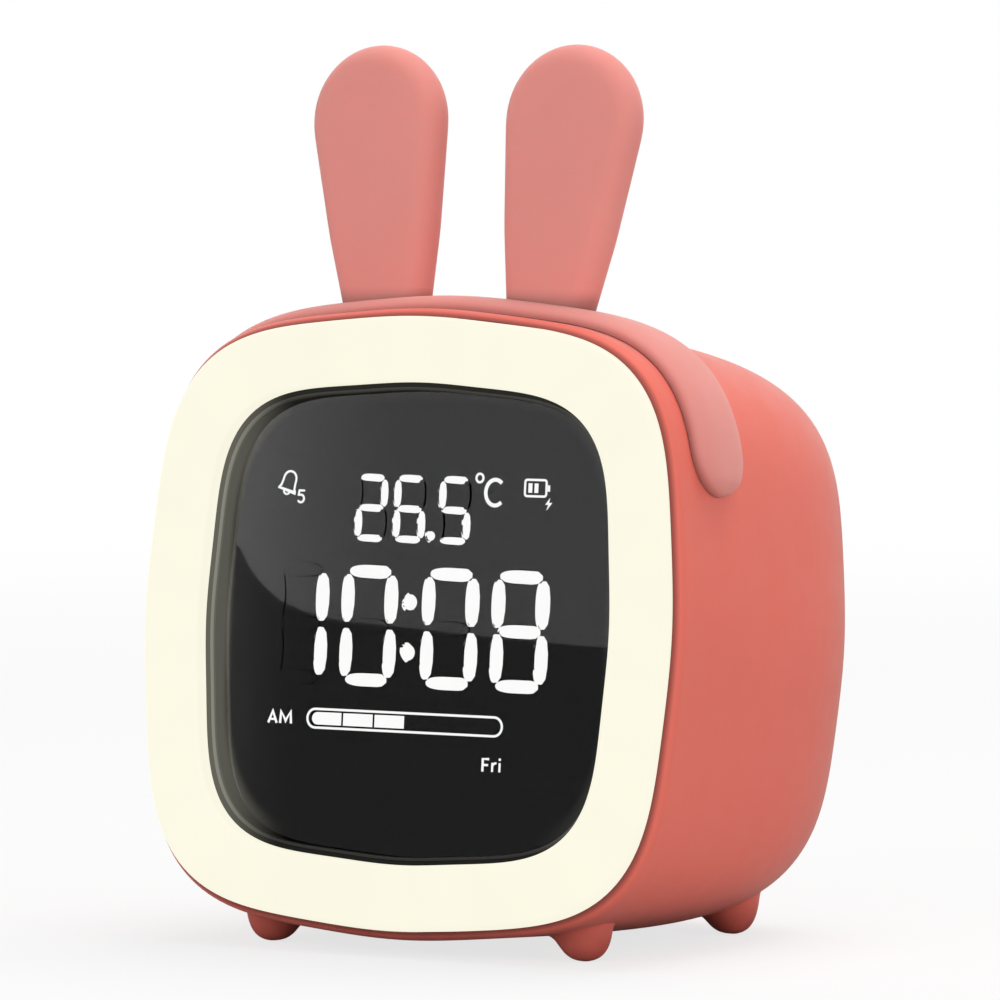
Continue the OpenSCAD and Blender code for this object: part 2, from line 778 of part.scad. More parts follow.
module rear_cover() color([0.87, 0.46, 0.41]) in_case() {
    difference() {
        union() {
            plate(cover_front, cover_rear) polygon(squircle(cover_half, cover_power));
            post([0, speaker_v], cover_front - locating_l, cover_front, speaker_wall_r);
            board_posts() post([0, 0], board_rear, cover_front, post_r);
        }
        post([0, speaker_v], cover_front - locating_l - over, cover_front, speaker_r + fit);
        post([0, speaker_v], cover_front - over, cover_rear + over, grille_r + fit);
        for (i = [0 : len(button_names) - 1])
            post([button_x(i), button_v], cover_front - over, cover_rear + over,
                 button_r + button_gap);
        translate([0, 0, usb_v]) plate(cover_front - over, cover_rear + over)
            usb_outline(button_gap);
        cover_screws() {
            post([0, 0], cover_front - over, cover_rear + over, screw_r + screw_hole_gap);
            post([0, 0], cover_rear - head_sink, cover_rear + over, head_r + screw_hole_gap);
        }
        board_posts()
            post([0, 0], board_rear - over, board_front + small_screw_l + pilot_gap,
                 small_screw_r + pilot_gap);
    }
}

module rear_cover_screws() color("silver") in_case() cover_screws()
    screw([0, 0], cover_rear - head_sink, screw_r, screw_l, head_r, head_h);

// ---- buttons ----

module button(i) color([0.98, 0.95, 0.88]) in_case() {
    flange_rear = cover_front - touch;
    cap_rear = cover_rear + button_proud;
    edge_r = 0.6;
    stem_r = 1.6;
    edge = [for (a = [0 : 30 : 90])
        [button_r - edge_r * (1 - cos(a)), cap_rear - edge_r * (1 - sin(a))]];
    turned([button_x(i), button_v], 0) rotate_extrude() polygon(join([
        [[0, stem_front], [stem_r, stem_front], [stem_r, flange_rear - button_flange_t],
         [button_flange_r, flange_rear - button_flange_t], [button_flange_r, flange_rear],
         [button_r, flange_rear]], edge, [[0, cap_rear]]]));
}

module button_set() button(0);
module button_up() button(1);
module button_down() button(2);
module button_light() button(3);

module tact_switches() color([0.2, 0.2, 0.22]) in_case()
    for (i = [0 : len(button_names) - 1]) {
        x = button_x(i);
        block(x - switch_w / 2, x + switch_w / 2, board_rear, board_rear + switch_h,
              button_v - switch_w / 2, button_v + switch_w / 2);
        post([x, button_v], board_rear + switch_h, plunger_rear, plunger_r);
    }

// ---- main board ----

module main_board() color([0.12, 0.34, 0.2]) in_case() difference() {
    plate(board_front, board_rear) {
        translate([-main_board_half, board_step])
            square([2 * main_board_half, board_top - board_step]);
        translate([-board_narrow_half, board_low])
            square([2 * board_narrow_half, board_step - board_low]);
    }
    board_posts() post([0, 0], board_front - over, board_rear + over,
                       small_screw_r + screw_hole_gap);
}

module main_board_screws() color("silver") in_case() board_posts()
    translate([0, 2 * board_front, 0]) mirror([0, 1, 0])
        screw([0, 0], board_front, small_screw_r, small_screw_l, small_head_r, small_head_h);

module controller_chip() color([0.08, 0.08, 0.08]) in_case() {
    chip_w = 9;
    chip_t = 1.4;
    at = [-13, board_top - 12];
    block(at[0] - chip_w / 2, at[0] + chip_w / 2, board_front - chip_t, board_front,
          at[1] - chip_w / 2, at[1] + chip_w / 2);
}

// capacitors and the battery lead's plug
module board_parts() color([0.15, 0.16, 0.3]) in_case() {
    can_h = 7;
    can_r = 2.5;
    can_v = board_top - can_r - 1.5;
    large_r = 3;
    large_v = board_low + 11;
    for (can = [[[-3, can_v], can_r], [[4, can_v], can_r], [[13, large_v], large_r]])
        post(can[0], board_front - can_h, board_front, can[1]);
    block(plug_at[0] - plug_size[0] / 2, plug_at[0] + plug_size[0] / 2, plug_front, board_front,
          plug_at[1] - plug_size[2] / 2, plug_at[1] + plug_size[2] / 2);
}

module temperature_sensor() color([0.1, 0.1, 0.1]) in_case() {
    bead_r = 1.1;
    leg_r = 0.25;
    leg_l = 5;
    at = [0, board_low + 2];
    translate([at[0], board_front - leg_l, at[1]]) sphere(r = bead_r);
    for (x = [-0.6, 0.6])
        post([at[0] + x, at[1]], board_front - leg_l, board_front, leg_r);
}

// ---- ribbon ----

ribbon_w = 12;
ribbon_t = 0.5;
socket_w = 15;
socket_h = 3;
socket_t = 2;
socket_low = 5.7 - display_board_h / 2;
socket_high = board_low + 9.4;

module ribbon_sockets() color([0.9, 0.88, 0.8]) in_case() {
    block(-socket_w / 2, socket_w / 2, display_board_rear, display_board_rear + socket_t,
          socket_low - socket_h / 2, socket_low + socket_h / 2);
    block(-socket_w / 2, socket_w / 2, board_front - socket_t, board_front,
          socket_high - socket_h / 2, socket_high + socket_h / 2);
}

module ribbon_cable() color([0.85, 0.85, 0.87]) in_case() {
    start = display_board_rear + socket_t + touch;
    stop = board_front - socket_t - touch;
    third = (stop - start) * 0.45;
    path = [[start, socket_low], [start + third, socket_low],
            [stop - third, socket_high], [stop, socket_high]];
    steps = 16;
    side = function (way) [for (i = [0 : steps])
        let (t = i / steps, d = bezier_way(path, t))
        bezier(path, t) + way * ribbon_t / 2 * [-d[1], d[0]]];
    lower = side(-1);
    upper = side(1);
    translate([-ribbon_w / 2, 0, 0]) rotate([90, 0, 90]) linear_extrude(ribbon_w)
        polygon(join([lower, [for (i = [steps : -1 : 0]) upper[i]]]));
}

// ---- charging socket ----

module usb_socket() color("silver") in_case() translate([0, 0, usb_v]) {
    shell_t = 0.3;
    floor_t = 1.5;
    tongue = [usb_w - usb_h, 0.7];
    mouth = cover_rear - 0.4;
    difference() {
        plate(board_rear, mouth) usb_outline();
        plate(board_rear + floor_t, mouth + over) usb_outline(-shell_t);
    }
    plate(board_rear + floor_t, mouth - 0.8) square(tongue, center = true);
}

// ---- speaker ----

module speaker_grille() color([0.87, 0.46, 0.41]) in_case() difference() {
    union() {
        post([0, speaker_v], cover_front, cover_rear - 0.4, grille_r);
        post([0, speaker_v], cover_front - grille_flange_t, cover_front, speaker_r);
    }
    step = (grille_r - 2 * grille_hole_r) / grille_rings;
    post([0, speaker_v], cover_front - 2 * over, cover_rear + over, grille_hole_r);
    for (k = [1 : grille_rings], i = [0 : 6 * k - 1]) {
        a = 60 * i / k;
        post([k * step * cos(a), speaker_v + k * step * sin(a)],
             cover_front - 2 * over, cover_rear + over, grille_hole_r);
    }
}

speaker_seat = speaker_rear - 0.8;
basket_front = speaker_rear - basket_depth;
magnet_r = speaker_r * 0.6;
cone_r = speaker_r - 1.8;

module speaker_frame() color([0.3, 0.3, 0.32]) in_case() {
    basket_t = 0.8;
    shoulder = 1;
    ledge = 1.2;
    rim_front = speaker_rear - speaker_rim_t;
    turned([0, speaker_v], 0) rotate_extrude() polygon([
        [0, basket_front], [magnet_r + shoulder, basket_front],
        [speaker_r - shoulder, rim_front - shoulder], [speaker_r, rim_front],
        [speaker_r, speaker_rear], [cone_r + touch, speaker_rear], [cone_r + touch, speaker_seat],
        [cone_r - ledge, speaker_seat], [magnet_r, basket_front + basket_t],
        [0, basket_front + basket_t]]);
}

module speaker_cone() color([0.14, 0.14, 0.15]) in_case() {
    cap_r = cone_r * 0.26;
    cap_rise = 1.3;
    cone_dip = 1.5;
    paper_t = 0.5;
    surround_w = 1.6;
    surround_front = speaker_seat + touch;
    surround_rear = speaker_seat + 0.4;
    turned([0, speaker_v], 0) rotate_extrude() polygon([
        [0, speaker_seat - cone_dip + cap_rise], [cap_r * 0.6, speaker_seat - cone_dip * 0.4],
        [cap_r, speaker_seat - cone_dip], [cap_r + paper_t, speaker_seat - cone_dip],
        [cone_r - surround_w, surround_front], [cone_r, surround_front],
        [cone_r, surround_rear], [cone_r - surround_w - paper_t / 2, surround_rear],
        [cap_r + paper_t, speaker_seat - cone_dip + paper_t],
        [cap_r, speaker_seat - cone_dip + paper_t], [cap_r * 0.55, speaker_seat],
        [0, speaker_seat - cone_dip + cap_rise + paper_t]]);
}

module speaker_magnet() color([0.6, 0.6, 0.62]) in_case()
    post([0, speaker_v], basket_front - magnet_depth, basket_front, magnet_r);

module speaker_lead() color([0.1, 0.1, 0.1]) in_case() {
    start = speaker_rear - speaker_rim_t - 1.4;
    start_r = speaker_r - 1.3;
    stop = board_rear + touch;
    pad_x = main_board_half - 10.4;
    pad_v = board_top - 2.4;
    for (i = [0, 1]) {
        a = -24 - 9 * i;
        from = [start_r * cos(a), start, speaker_v + start_r * sin(a)];
        to = [pad_x + wire_step * (1 - i), stop, pad_v];
        wire([from, from + [1, -2, -4], to + [0, 2.6, 0], to], wire_r * 0.8);
    }
}

// ---- headband ----

// unit vector square to a superellipse at the point p on it
function outward(p, power) =
    let (g = [sign(p[0]) * pow(abs(p[0]), power - 1), sign(p[1]) * pow(abs(p[1]), power - 1)])
    g / norm(g);

// the band's cross-section at the angle a, its half-width and height scaled near the ends
function band_section(a, wide, high, steps) =
    [for (i = [0 : steps])
        let (q = 180 * i / steps,
             depth = band_set + wide * band_w / 2 * sign(cos(q)) * pow(abs(cos(q)), 0.7),
             half = case_half(depth) + band_gap, power = section_power(depth),
             foot = half * squircle_r(a, power) * [cos(a), sin(a)],
             p = foot + high * band_t * pow(sin(q), 0.75) * outward(foot, power))
        [p[0], depth, p[1]]];

function taper(distance, length) =
    distance >= length ? 1 : sqrt(1 - pow(1 - distance / length, 2));

module band() {
    end = band_w / 2 * deg_per_mm;
    nose = [for (b = [15 : 15 : 90]) end * (1 - cos(b))];
    low = [for (d = nose) arm_angle + d];
    middle = [for (i = [1 : 22]) arm_angle + end + (180 - 2 * (arm_angle + end)) * i / 23];
    high = [for (i = [len(nose) - 1 : -1 : 0]) 180 - low[i]];
    stations = join([low, middle, high]);
    profile_steps = 12;
    rings = [for (a = stations)
        let (d = (min(a, 180 - a) - arm_angle) / deg_per_mm)
        band_section(a, taper(d, band_w / 2), taper(d, band_t * 1.2), profile_steps)];
    polyhedron(join(rings), join([skin(len(rings), profile_steps + 1, false),
        cap_start(profile_steps + 1), cap_end(len(rings), profile_steps + 1)]));
}

// a disc with a soft edge, square to the depth axis
module soft_disc(r) {
    half_t = ear_t / 2;
    edge = [for (a = [-90 : 22.5 : 90]) [r - half_t * (1 - cos(a)), half_t * sin(a)]];
    rotate([90, 0, 0]) rotate_extrude($fn = 36) polygon(join([[[0, -half_t]], edge, [[0, half_t]]]));
}

module ear() {
    root_v = half_w - 2.7;
    base_v = case_half(ear_set) + band_gap + 0.2;
    length = (ear_top - ear_r - root_v) / cos(ear_lean);
    waist = 0.5;
    belly = 0.45;
    difference() {
        translate([ear_root_x, ear_set, root_v]) rotate([0, ear_lean, 0]) hull() {
            soft_disc(ear_root_r);
            translate([0, 0, waist * length])
                soft_disc(ear_root_r + waist * (ear_r - ear_root_r) + belly);
            translate([0, 0, length]) soft_disc(ear_r);
        }
        block(0, 2 * ear_root_x, ear_set - ear_t, ear_set + ear_t,
              root_v - 2 * ear_root_r, base_v);
    }
}

module ear_headband() color([0.87, 0.54, 0.52]) in_case() {
    band();
    ear();
    mirror([1, 0, 0]) ear();
}

outer_shell();
diffuser_ring();
window_bezel();
display_window();
digit_block();
digit_segments();
display_board();
display_board_screws();
front_frame();
front_frame_screws();
light_board();
light_leds();
battery_cell();
battery_pad();
battery_lead();
rear_cover();
rear_cover_screws();
main_board();
main_board_screws();
controller_chip();
board_parts();
ribbon_sockets();
ribbon_cable();
tact_switches();
button_set();
button_up();
button_down();
button_light();
usb_socket();
speaker_grille();
speaker_frame();
speaker_cone();
speaker_magnet();
speaker_lead();
temperature_sensor();
ear_headband();
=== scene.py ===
from math import asin, atan2, cos, degrees, hypot, pi, radians, sin, sqrt

import bmesh
import bpy
import numpy as np
from mathutils import Matrix, Vector


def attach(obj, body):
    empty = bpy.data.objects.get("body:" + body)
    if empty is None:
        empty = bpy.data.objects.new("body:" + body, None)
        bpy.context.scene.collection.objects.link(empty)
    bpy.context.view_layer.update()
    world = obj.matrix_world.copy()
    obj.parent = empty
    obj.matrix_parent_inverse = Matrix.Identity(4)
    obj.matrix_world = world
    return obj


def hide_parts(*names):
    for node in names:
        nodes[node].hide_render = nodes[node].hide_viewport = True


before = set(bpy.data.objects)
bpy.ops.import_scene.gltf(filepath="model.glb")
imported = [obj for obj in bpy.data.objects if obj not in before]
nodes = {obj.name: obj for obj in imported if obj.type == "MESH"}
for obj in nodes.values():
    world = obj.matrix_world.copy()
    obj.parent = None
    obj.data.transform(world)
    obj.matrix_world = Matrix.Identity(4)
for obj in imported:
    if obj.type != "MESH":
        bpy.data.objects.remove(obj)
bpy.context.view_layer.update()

scene = bpy.context.scene

# the case's own axes, in mm: x, depth behind the ring's front, height up the face from its middle
place = {"tilt": radians(5), "caseY": -37.0125, "faceH": 53.1078, "sideEase": 0.008}
cosT, sinT = cos(place["tilt"]), sin(place["tilt"])
faceZ = place["faceH"] / 1000  # the face's middle in metres
quarterTurn = pi / 2


def toRow(points):
    p = np.asarray(points, float).reshape(-1, 3)
    y = place["caseY"] + p[:, 1] * cosT + p[:, 2] * sinT
    z = place["faceH"] - p[:, 1] * sinT + p[:, 2] * cosT
    return np.stack([p[:, 0], y, z], 1) / 1000


def around(steps):
    return np.arange(steps) * 2 * pi / steps


def superR(a, power):  # radius of a unit superellipse at the angle a
    return (np.abs(np.cos(a)) ** power + np.abs(np.sin(a)) ** power) ** (-1 / power)


def squircleR(a, power):  # drawn in a little between flats and corners
    return superR(a, power) * (1 - place["sideEase"] * (1 - np.cos(8 * a)))


def squircle(half, depth, power, steps):
    a = around(steps)
    r = half * squircleR(a, power)
    return np.stack([r * np.cos(a), np.full(steps, float(depth)), r * np.sin(a)], 1)


def gridFaces(rings, steps, loopRings=True):
    faces = []
    for j in range(rings if loopRings else rings - 1):
        here, beyond = j * steps, (j + 1) % rings * steps
        for i in range(steps):
            after = (i + 1) % steps
            faces.append((here + i, here + after, beyond + after, beyond + i))
    return faces


def makeObject(name, data):
    obj = bpy.data.objects.new(name, data)
    scene.collection.objects.link(obj)
    return obj


def makeMesh(name, parts, sharp=40, inRow=False, weld=False):
    allPoints, allFaces, start = [], [], 0
    for points, faces in parts:
        points = np.asarray(points, float).reshape(-1, 3)
        allPoints.append(points)
        allFaces += [tuple(start + i for i in face) for face in faces]
        start += len(points)
    points = np.concatenate(allPoints)
    points = points if inRow else toRow(points)
    mesh = bpy.data.meshes.new(name)
    mesh.from_pydata([tuple(p) for p in points], [], allFaces)
    work = bmesh.new()
    work.from_mesh(mesh)
    if weld:
        bmesh.ops.remove_doubles(work, verts=work.verts, dist=2e-6)
    bmesh.ops.recalc_face_normals(work, faces=work.faces)
    work.to_mesh(mesh)
    work.free()
    mesh.shade_smooth()
    mesh.set_sharp_from_angle(angle=radians(sharp))
    return makeObject(name, mesh)


def loft(stations, steps=288):  # a closed skin over sections given as (half width, depth, power)
    points = np.concatenate([squircle(half, depth, power, steps) for half, depth, power in stations])
    return points, gridFaces(len(stations), steps)


def prism(outline, front, rear):
    n = len(outline)
    points = [(x, front, v) for x, v in outline] + [(x, rear, v) for x, v in outline]
    faces = [(i, (i + 1) % n, n + (i + 1) % n, n + i) for i in range(n)]
    return points, faces + [tuple(range(n)), tuple(range(2 * n - 1, n - 1, -1))]


# node helpers; each takes the tree first
def fill(tree, node, inputs):  # links what is a socket and sets what is a plain value
    for key, value in inputs.items():
        if isinstance(value, bpy.types.NodeSocket):
            tree.links.new(value, node.inputs[key])
        else:
            node.inputs[key].default_value = value


def add(tree, kind, inputs=None, **settings):
    made = tree.nodes.new("ShaderNode" + kind)
    for key, value in settings.items():
        setattr(made, key, value)
    fill(tree, made, inputs or {})
    return made


def calc(tree, operation, a, b=0.0):
    return add(tree, "Math", {0: a, 1: b}, operation=operation).outputs[0]


def times(tree, a, b):
    return calc(tree, "MULTIPLY", a, b)


def plus(tree, a, b):
    return calc(tree, "ADD", a, b)


def larger(tree, a, b):
    return calc(tree, "MAXIMUM", a, b)


def spread(tree, value, low, high, toLow=0.0, toHigh=1.0, kind="LINEAR"):
    ends = {"Value": value, "From Min": low, "From Max": high, "To Min": toLow, "To Max": toHigh}
    return add(tree, "MapRange", ends, interpolation_type=kind).outputs["Result"]


def ease(tree, value, low, high, toLow=0.0, toHigh=1.0):
    return spread(tree, value, low, high, toLow, toHigh, "SMOOTHSTEP")


def mixColor(tree, factor, a, b):
    return add(tree, "Mix", {0: factor, 6: a, 7: b}, data_type="RGBA").outputs[2]


def noise(tree, at, scale, detail=2.0, rough=0.5):
    settings = {"Vector": at, "Scale": scale, "Detail": detail, "Roughness": rough}
    return add(tree, "TexNoise", settings).outputs["Fac"]


def specks(tree, at, scale):
    return add(tree, "TexVoronoi", {"Vector": at, "Scale": scale}).outputs["Distance"]


def objectPlace(tree):
    return add(tree, "TexCoord").outputs["Object"]


def split(tree, vector):
    return add(tree, "SeparateXYZ", {0: vector}).outputs


def newGroup(name, inputs, outputs):
    tree = bpy.data.node_groups.new(name, "ShaderNodeTree")
    for label, kind, value in inputs:
        socket = tree.interface.new_socket(name=label, in_out="INPUT", socket_type="NodeSocket" + kind)
        socket.default_value = value
    for label, kind in outputs:
        tree.interface.new_socket(name=label, in_out="OUTPUT", socket_type="NodeSocket" + kind)
    return tree, tree.nodes.new("NodeGroupInput").outputs, tree.nodes.new("NodeGroupOutput")


surfaceOutputs = [("Color", "Color"), ("Roughness", "Float"), ("Height", "Float")]
mouldedLook = {"cloud": 26.0, "patch": 140.0, "lintScale": 420.0, "lint": 0.16, "lowDarkTop": 0.009,
               "lintColor": (0.86, 0.83, 0.8, 1), "wornColor": (1.0, 0.9, 0.86, 1),
               "lowDarkColor": (0.12, 0.075, 0.06, 1)}


# mottled colour with lint on top, worn edges and a patchy darkening towards the table, over a fine grain
def mouldedGroup():
    look = mouldedLook
    tree, given, out = newGroup("mouldedSurface", [
        ("Color", "Color", (0.8, 0.8, 0.8, 1)), ("Rough", "Float", 0.45), ("Grain", "Float", 4000.0),
        ("Mottle", "Float", 0.06), ("LowDark", "Float", 0.3), ("Wear", "Float", 0.1)], surfaceOutputs)
    at = objectPlace(tree)
    shape = add(tree, "NewGeometry").outputs
    grain = noise(tree, at, given["Grain"], 2.0, 0.6)
    cloud = noise(tree, at, look["cloud"], 5.0, 0.55)
    patch = noise(tree, at, look["patch"], 3.0, 0.6)
    up = spread(tree, split(tree, shape["Normal"])["Z"], 0.55, 1.0)
    low = spread(tree, split(tree, shape["Position"])["Z"], look["lowDarkTop"], 0.0005)
    speck = specks(tree, at, look["lintScale"])
    lint = times(tree, spread(tree, speck, 0.09, 0.04), spread(tree, patch, 0.52, 0.62))
    swing = times(tree, spread(tree, cloud, 0.3, 0.7, -1.0, 1.0), given["Mottle"])
    shade = add(tree, "HueSaturation", {"Color": given["Color"], "Value": plus(tree, swing, 1.0)}).outputs[0]
    dust = times(tree, times(tree, up, lint), look["lint"])
    shade = mixColor(tree, dust, shade, look["lintColor"])
    worn = times(tree, spread(tree, shape["Pointiness"], 0.505, 0.56), given["Wear"])
    shade = mixColor(tree, worn, shade, look["wornColor"])
    # darker towards the table, in patches
    lowDark = times(tree, times(tree, low, spread(tree, patch, 0.35, 0.7)), given["LowDark"])
    shade = mixColor(tree, lowDark, shade, look["lowDarkColor"])
    rough = plus(tree, given["Rough"], spread(tree, patch, 0.3, 0.7, -0.05, 0.07))
    fill(tree, out, {"Color": shade, "Roughness": plus(tree, rough, times(tree, dust, 0.8)),
                     "Height": plus(tree, grain, times(tree, patch, 0.4))})
    return tree


metalLook = {"stretch": (1.0, 0.12, 1.0), "stain": 320.0, "stainShare": 0.35,
             "stainColor": (0.32, 0.3, 0.27, 1)}


def metalGroup():
    look = metalLook
    tree, given, out = newGroup("platedMetal", [
        ("Color", "Color", (0.6, 0.6, 0.6, 1)), ("Rough", "Float", 0.3), ("Brush", "Float", 900.0)],
        surfaceOutputs)
    at = objectPlace(tree)
    drawn = add(tree, "Mapping", {"Vector": at, "Scale": look["stretch"]}).outputs[0]
    lines = noise(tree, drawn, given["Brush"], 3.0)
    stain = spread(tree, noise(tree, at, look["stain"], 4.0), 0.45, 0.75, 0.0, look["stainShare"])
    rough = plus(tree, given["Rough"], spread(tree, lines, 0.3, 0.7, -0.08, 0.12))
    shade = mixColor(tree, stain, given["Color"], look["stainColor"])
    fill(tree, out, {"Color": shade, "Roughness": rough, "Height": lines})
    return tree


smudgeLook = {"broad": 34.0, "ridges": 520.0, "wobble": 6.0, "dust": 700.0, "rough": 0.05}


def smudgeGroup():
    look = smudgeLook
    outputs = [("Roughness", "Float"), ("Dust", "Float")]
    tree, given, out = newGroup("touchSmudges", [("Amount", "Float", 1.0)], outputs)
    at = objectPlace(tree)
    broad = noise(tree, at, look["broad"], 4.0, 0.6)
    ridge = add(tree, "TexWave", {"Vector": at, "Scale": look["ridges"], "Distortion": look["wobble"],
                                  "Detail": 2.0, "Detail Scale": 1.4}).outputs["Fac"]
    mark = times(tree, spread(tree, broad, 0.56, 0.7), ridge)
    speck = specks(tree, at, look["dust"])
    dust = times(tree, spread(tree, speck, 0.06, 0.02), spread(tree, broad, 0.4, 0.6))
    rough = times(tree, mark, times(tree, given["Amount"], look["rough"]))
    fill(tree, out, {"Roughness": rough, "Dust": times(tree, dust, given["Amount"])})
    return tree


moulded, metal, smudges = mouldedGroup(), metalGroup(), smudgeGroup()


def useGroup(tree, group, **inputs):
    made = add(tree, "Group", node_tree=group)
    fill(tree, made, inputs)
    return made.outputs


def newMaterial(name):
    material = bpy.data.materials.new(name)
    material.use_nodes = True
    return material, material.node_tree, material.node_tree.nodes["Principled BSDF"]


def surfaced(name, group, values, shader=None, bump=0.15, step=0.00004, bevel=0.0):
    material, tree, bsdf = newMaterial(name)
    skin = useGroup(tree, group, **values)
    lift = add(tree, "Bump", {"Height": skin["Height"], "Strength": bump, "Distance": step})
    if bevel:
        fill(tree, lift, {"Normal": add(tree, "Bevel", {"Radius": bevel}, samples=6).outputs[0]})
    fill(tree, bsdf, {"Base Color": skin["Color"], "Roughness": skin["Roughness"],
                            "Normal": lift.outputs[0], **(shader or {})})
    return material


def plastic(name, color, rough, grain=3000.0, mottle=0.06, lowDark=0.2, wear=0.1, **more):
    values = {"Color": (*color, 1), "Rough": rough, "Grain": grain,
              "Mottle": mottle, "LowDark": lowDark, "Wear": wear}
    return surfaced(name, moulded, values, **more)


def plated(name, color, rough, brush, metallic=1.0, **more):
    values = {"Color": (*color, 1), "Rough": rough, "Brush": brush}
    return surfaced(name, metal, values, {"Metallic": metallic}, **more)


# darkens what lies close to another surface, below top
def shadeContact(material, color, reach, depth, top=9.0):
    tree = material.node_tree
    base = tree.nodes["Principled BSDF"].inputs["Base Color"]
    openness = add(tree, "AmbientOcclusion", {"Distance": reach}, samples=6).outputs["AO"]
    closed = spread(tree, openness, 0.3, 0.97, depth, 0.0)
    below = spread(tree, split(tree, objectPlace(tree))["Z"], top - 0.002, top, 1.0, 0.0)
    tree.links.new(mixColor(tree, times(tree, closed, below), base.links[0].from_socket, color), base)


def paint(obj, material):
    obj.data.materials.clear()
    obj.data.materials.append(material)


print("helpers ready")

case = {
    "half": 50.5, "depth": 76.0, "wall": 2.2, "frontPower": 3.5, "rearPower": 3.45, "draft": 0.018,
    "round": 26.0, "roundPower": 4.1, "lipRound": 3.0, "lipSet": 1.2, "lipW": 1.35, "ringSeat": 49.15,
    "seatDepth": 7.15, "openingHalf": 33.3, "ledgeHalf": 30.6, "ledgeDepth": 73.252, "collarFront": 71.252,
    "coverPower": 3.4, "color": (0.86, 0.182, 0.136), "rough": 0.5,
}


def sectionPower(depth):
    return case["frontPower"] + (case["rearPower"] - case["frontPower"]) * depth / case["depth"]


def caseHalf(depth):
    inner = 1 - np.clip(depth / case["depth"], 0, 1) ** case["roundPower"]
    return case["half"] - case["draft"] * depth - case["round"] * (1 - inner ** (1 / case["roundPower"]))


def curveStations(half, depth, roundIn, fromDepth, toRise, steps):
    power = case["roundPower"]
    first = atan2(1, fromDepth / depth)
    last = atan2(toRise, (1 - toRise ** power) ** (1 / power))
    stations = []
    for i in range(steps + 1):
        b = first + (last - first) * i / steps
        r = float(superR(b, power))
        s = depth * r * cos(b)
        stations.append((half - case["draft"] * s - roundIn * (1 - r * sin(b)), s, sectionPower(s)))
    return stations


def caseStations(lipSteps=16, outerSteps=64, innerSteps=16):
    c = case
    lipFrom = asin(1 - c["lipW"] / c["lipRound"])
    lip = []
    for i in range(lipSteps):
        a = lipFrom + (quarterTurn - lipFrom) * i / lipSteps
        s = c["lipSet"] + c["lipRound"] * (1 - cos(a))
        lip.append((c["half"] - c["draft"] * s - c["lipRound"] * (1 - sin(a)), s, c["frontPower"]))
    rise = 1 - (c["half"] - c["draft"] * c["depth"] - c["openingHalf"]) / c["round"]
    outer = curveStations(c["half"], c["depth"], c["round"], c["lipSet"] + c["lipRound"], rise, outerSteps)
    innerRound, innerDepth, innerHalf = c["round"] - c["wall"], c["depth"] - c["wall"], c["half"] - c["wall"]
    collarHalf = c["openingHalf"] + c["wall"]
    innerRise = 1 - (innerHalf - c["draft"] * innerDepth - collarHalf) / innerRound
    inner = curveStations(innerHalf, innerDepth, innerRound, c["seatDepth"], innerRise, innerSteps)[::-1]
    collar = [(half, depth, c["coverPower"]) for half, depth in (
        (c["openingHalf"], c["ledgeDepth"]), (c["ledgeHalf"], c["ledgeDepth"]),
        (c["ledgeHalf"], c["collarFront"]), (collarHalf, c["collarFront"]))]
    rebate = [(c["ringSeat"], c["seatDepth"], c["frontPower"]), (c["ringSeat"], lip[0][1], c["frontPower"])]
    return lip + outer + collar + inner + rebate


def undersideHeight(x, y):  # height of the case's underside over the table, found by repeated correction
    v = np.full(np.shape(x), -47.0)
    for _ in range(8):
        s = (y - place["caseY"] - v * sinT) / cosT
        half, power = caseHalf(s), sectionPower(s)
        a = np.full(np.shape(x), radians(60))
        for _ in range(10):
            a = np.arccos(np.clip(np.abs(x) / half / squircleR(a, power), 0, 1))
        v = -half * squircleR(a, power) * np.sin(a)
    return place["faceH"] - s * sinT + v * cosT


# each foot's profile as (height share, radius), on its outer and its inner side
feet = {"x": 29.5, "front": 8.5, "rear": 55.9, "sink": 0.1,
        "outer": [(0, 0.6), (0.03, 1.5), (0.12, 2.6), (0.3, 3.5), (0.55, 4.05), (0.8, 4.25),
                  (0.95, 4.4), (1, 4.7)],
        "inner": [(0, 0.6), (0.03, 1.5), (0.11, 2.4), (0.3, 3.4), (0.56, 4.2), (0.79, 4.9),
                  (0.93, 5.6), (1, 6.5)]}


def smoothed(line, passes):
    for _ in range(passes):
        line[1:-1] = 0.5 * line[1:-1] + 0.25 * (line[:-2] + line[2:])
    return line


def footProfile(points, steps=40):
    p = np.array(points, float)
    at = np.linspace(0, len(p) - 1, steps)
    return smoothed(np.stack([np.interp(at, np.arange(len(p)), p[:, i]) for i in (0, 1)], 1), 8)


def footPart(cx, cy, steps=72):
    turn = around(steps)
    inward = (0.5 - 0.5 * np.sign(cx) * np.cos(turn))[None, :, None]
    outer, inner = footProfile(feet["outer"]), footProfile(feet["inner"])
    mixed = outer[:, None] * (1 - inward) + inner[:, None] * inward
    wide = mixed[-1, :, 1]
    roof = undersideHeight(cx + wide * np.cos(turn), cy + wide * np.sin(turn)) + feet["sink"]
    points = []
    for level in mixed:
        x, y = cx + level[:, 1] * np.cos(turn), cy + level[:, 1] * np.sin(turn)
        points.append(np.stack([x, y, level[:, 0] * roof], 1) / 1000)
    points = np.concatenate(points + [[[cx / 1000, cy / 1000, 0]]])
    middle = len(points) - 1
    return points, gridFaces(len(mixed), steps, False) + [(middle, (i + 1) % steps, i) for i in range(steps)]


shellPoints, shellFaces = loft(caseStations())
footParts = [footPart(x, place["caseY"] + y)
             for x in (-feet["x"], feet["x"]) for y in (feet["front"], feet["rear"])]
shell = makeMesh("caseShell", [(toRow(shellPoints), shellFaces)] + footParts, 50, inRow=True)
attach(shell, "case")
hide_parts("outer_shell")
coral = plastic("caseCoral", case["color"], case["rough"], 3800.0, 0.025, 0.35, 0.0, bump=0.12,
                shader={"Specular IOR Level": 0.3, "Coat Weight": 0.05, "Coat Roughness": 0.35})
